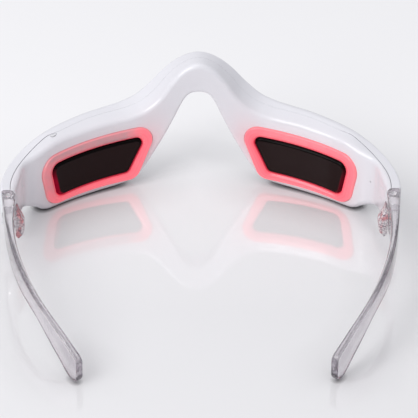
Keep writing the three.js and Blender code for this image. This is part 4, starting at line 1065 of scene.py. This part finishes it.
for word, side in SIDES:
    for place, level in screw_levels.items():
        rings = lying_rings(profile, side, level)
        screw = piece(f"{word}_screw_{place}", loft_mesh(rings), bright_steel, 35)
        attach(screw, f"{word}_temple")
        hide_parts(f"{word}_block_screw_{place}")

# Status light pipe. A small milky polycarbonate rod pressed into the housing by the seam, over the
# status light of the left board.


def dress(material, *names):
    """Gives kept CAD nodes their finish."""
    for name in names:
        for slot in nodes[name].material_slots:
            slot.material = material


def plain_finish(name, colour, marks, roughness, metallic=0.0, size=900.0, wave=0.15, grain=0.2):
    """A finish whose colour and roughness vary a little, with faint marks of a second colour."""
    material, wires, shader, mottle = new_finish(name, wave, grain, size)
    spots = wires.ranged(mottle, 0.35, 0.65)
    wires.feed(shader, {
        "Base Color": wires.mixed(spots, (*colour, 1), (*marks, 1)), "Metallic": metallic,
        "Roughness": wires.ranged(mottle, 0, 1, roughness * 0.75, roughness * 1.25),
    })
    return material, wires, shader


milky, wires, shader = plain_finish("milky_clear", (0.86, 0.85, 0.87), (0.76, 0.75, 0.78), 0.2)
wires.feed(shader, {"Coat Weight": 0.5})
dress(milky, "status_light_pipe")

# Light boards. White-masked boards behind the windows, each with six warm emitters under a lens of
# yellow phosphor, soldered flat.
white_mask, *_ = plain_finish("white_mask", (0.80, 0.80, 0.77), (0.74, 0.74, 0.70), 0.42)
dress(white_mask, "left_led_board", "right_led_board")
phosphor, wires, shader = plain_finish("phosphor", (0.90, 0.62, 0.20), (0.84, 0.50, 0.14), 0.3, 0.0, 2400.0)
wires.feed(shader, {"Coat Weight": 0.6})
dress(phosphor, *(f"{word}_led_{i}" for word in ("left", "right") for i in range(1, 7)))

# Main board. Green glass-epoxy board on its edge behind the cover, with the button's switch in
# black plastic, and copper tracks that show through the mask.
green_mask, wires, shader = plain_finish("green_mask", (0.02, 0.15, 0.07), (0.03, 0.20, 0.09), 0.35)
tracks = wires.add("ShaderNodeTexBrick", {
    "Vector": wires.place(), "Scale": 420.0, "Mortar Size": 0.03, "Color1": (0.02, 0.14, 0.06, 1),
    "Color2": (0.02, 0.19, 0.09, 1), "Mortar": (0.10, 0.36, 0.14, 1)})
wires.feed(shader, {"Base Color": tracks.outputs["Color"]})
dress(green_mask, "main_board")
black_plastic, *_ = plain_finish("black_plastic", (0.018, 0.018, 0.020), (0.03, 0.03, 0.032), 0.45, 0.0,
                                 1600.0)
dress(black_plastic, "tact_switch")

# Battery. A flat lithium pouch in crinkled silver laminate, which lies behind the left window's
# board.
foil, *_ = plain_finish("pouch_foil", (0.62, 0.63, 0.65), (0.74, 0.75, 0.77), 0.3, 0.85, 380.0, 0.9, 0.3)
dress(foil, "battery")

# Charging inlet. A shell drawn from thin steel with a tongue inside, open downward between the two
# white shells, which hold it in their mouth.
drawn_steel, *_ = plain_finish("drawn_steel", (0.60, 0.60, 0.62), (0.70, 0.70, 0.72), 0.26, 1.0, 1800.0)
dress(drawn_steel, "charge_port")

# Bridge cable. A flat orange polyimide strip with copper tracks, which joins the two lobes' boards
# over the nose.
polyimide, wires, shader = plain_finish("polyimide", (0.70, 0.28, 0.05), (0.78, 0.34, 0.07), 0.3)
stripes = wires.add("ShaderNodeTexWave", {"Vector": wires.place(), "Scale": 260.0, "Distortion": 0.0},
                    bands_direction="Z")
copper = wires.ranged(stripes.outputs["Fac"], 0.45, 0.6)
wires.feed(shader, {"Base Color": wires.mixed(copper, (0.70, 0.28, 0.05, 1), (0.46, 0.16, 0.04, 1))})
dress(polyimide, "bridge_cable")

# Stage. A pale glossy table top that shows a soft reflection, with painted shadow where the glasses
# touch it and stand near it and a painted glow that brightens it toward the back, in a pale room
# with three soft lamps, seen by a long lens from the wearer's side.
FLOOR_DROP, FLOOR_HALF = 0.00005, 3
floor_mesh = bpy.data.meshes.new("studio_floor")
floor_mesh.from_pydata([(x * FLOOR_HALF, y * FLOOR_HALF, 0) for x, y in ((-1, -1), (1, -1), (1, 1), (-1, 1))],
                       [], [(0, 1, 2, 3)])
studio_floor = bpy.data.objects.new("studio_floor", floor_mesh)
bpy.context.scene.collection.objects.link(studio_floor)
studio_floor.location.z = -FLOOR_DROP
floor_finish = bpy.data.materials.new("studio_floor")
floor_finish.use_nodes = True
wires = Wiring(floor_finish)
# Painted shadow: the floor's colour and glow darken within 2 mm of the glasses, and softly within 25 mm.
near = wires.maths("MULTIPLY", wires.shade(0.002), wires.ranged(wires.shade(0.025), 0, 1, 0.5))
spot = wires.add("ShaderNodeNewGeometry").outputs["Position"]
toward_back = wires.add("ShaderNodeSeparateXYZ", {"Vector": spot}).outputs["Y"]
# Painted light: the floor glows brighter toward the back.
far = wires.ranged(toward_back, -0.03, 0.12, 0.05, 0.18)
rays = wires.add("ShaderNodeLightPath").outputs
seen = wires.maths("MAXIMUM", rays["Is Camera Ray"], rays["Is Transmission Ray"])
seen = wires.maths("MAXIMUM", seen, rays["Is Glossy Ray"])
wires.feed(wires.tree.nodes["Principled BSDF"], {
    "Base Color": wires.mixed(near, (0.08, 0.07, 0.08, 1), (0.82, 0.81, 0.82, 1)),
    "Roughness": 0.05, "IOR": 2.5, "Emission Color": (1.0, 1.0, 1.0, 1),
    "Emission Strength": wires.maths("MULTIPLY", wires.maths("MULTIPLY", far, seen), near),
})
floor_mesh.materials.append(floor_finish)

world = bpy.data.worlds.new("studio")
bpy.context.scene.world = world
world.use_nodes = True
wires = Wiring(world)
rays = wires.add("ShaderNodeLightPath").outputs
wires.feed(wires.tree.nodes["Background"], {
    "Color": (0.95, 0.96, 1.0, 1), "Strength": wires.ranged(rays["Is Camera Ray"], 0, 1, 0.62, 0.9)})


def softbox(name, place, toward, width, height, power):
    """A soft studio lamp that faces a point."""
    lamp = bpy.data.lights.new(name, "AREA")
    lamp.shape, lamp.size, lamp.size_y, lamp.energy = "RECTANGLE", width, height, power
    holder = bpy.data.objects.new(name, lamp)
    bpy.context.scene.collection.objects.link(holder)
    holder.location = place
    holder.rotation_euler = (Vector(toward) - Vector(place)).to_track_quat("-Z", "Y").to_euler()


softbox("key_softbox", (-0.7, -0.6, 0.75), (0, 0, 0), 0.7, 0.7, 6.6)
softbox("overhead_softbox", (-0.2, 0.3, 1.05), (0, 0, 0), 1.0, 0.7, 0.5)
softbox("strip_softbox", (-0.1, -0.25, 0.85), (0, 0.02, 0), 0.8, 0.05, 0.8)

CAMERA_PLACE = (-0.02999, -0.98850, 0.64630)
CAMERA_PITCH, CAMERA_YAW, CAMERA_ROLL = math.radians(32), -0.0329, 0.0121
SENSOR, FOCAL_PIXELS, PHOTO_PIXELS = 36, 3000, 418
camera_data = bpy.data.cameras.new("photo_camera")
camera_data.sensor_width, camera_data.lens = SENSOR, SENSOR * FOCAL_PIXELS / PHOTO_PIXELS
camera_data.clip_start, camera_data.clip_end = 0.05, 20
camera = bpy.data.objects.new("photo_camera", camera_data)
bpy.context.scene.collection.objects.link(camera)
look = Matrix.Rotation(CAMERA_YAW, 3, "Z") @ Matrix.Rotation(math.pi / 2 - CAMERA_PITCH, 3, "X")
turned = look @ Matrix.Rotation(CAMERA_ROLL, 3, "Z")
camera.matrix_world = Matrix.Translation(CAMERA_PLACE) @ turned.to_4x4()
bpy.context.scene.camera = camera
bpy.context.scene.view_settings.view_transform = "Standard"
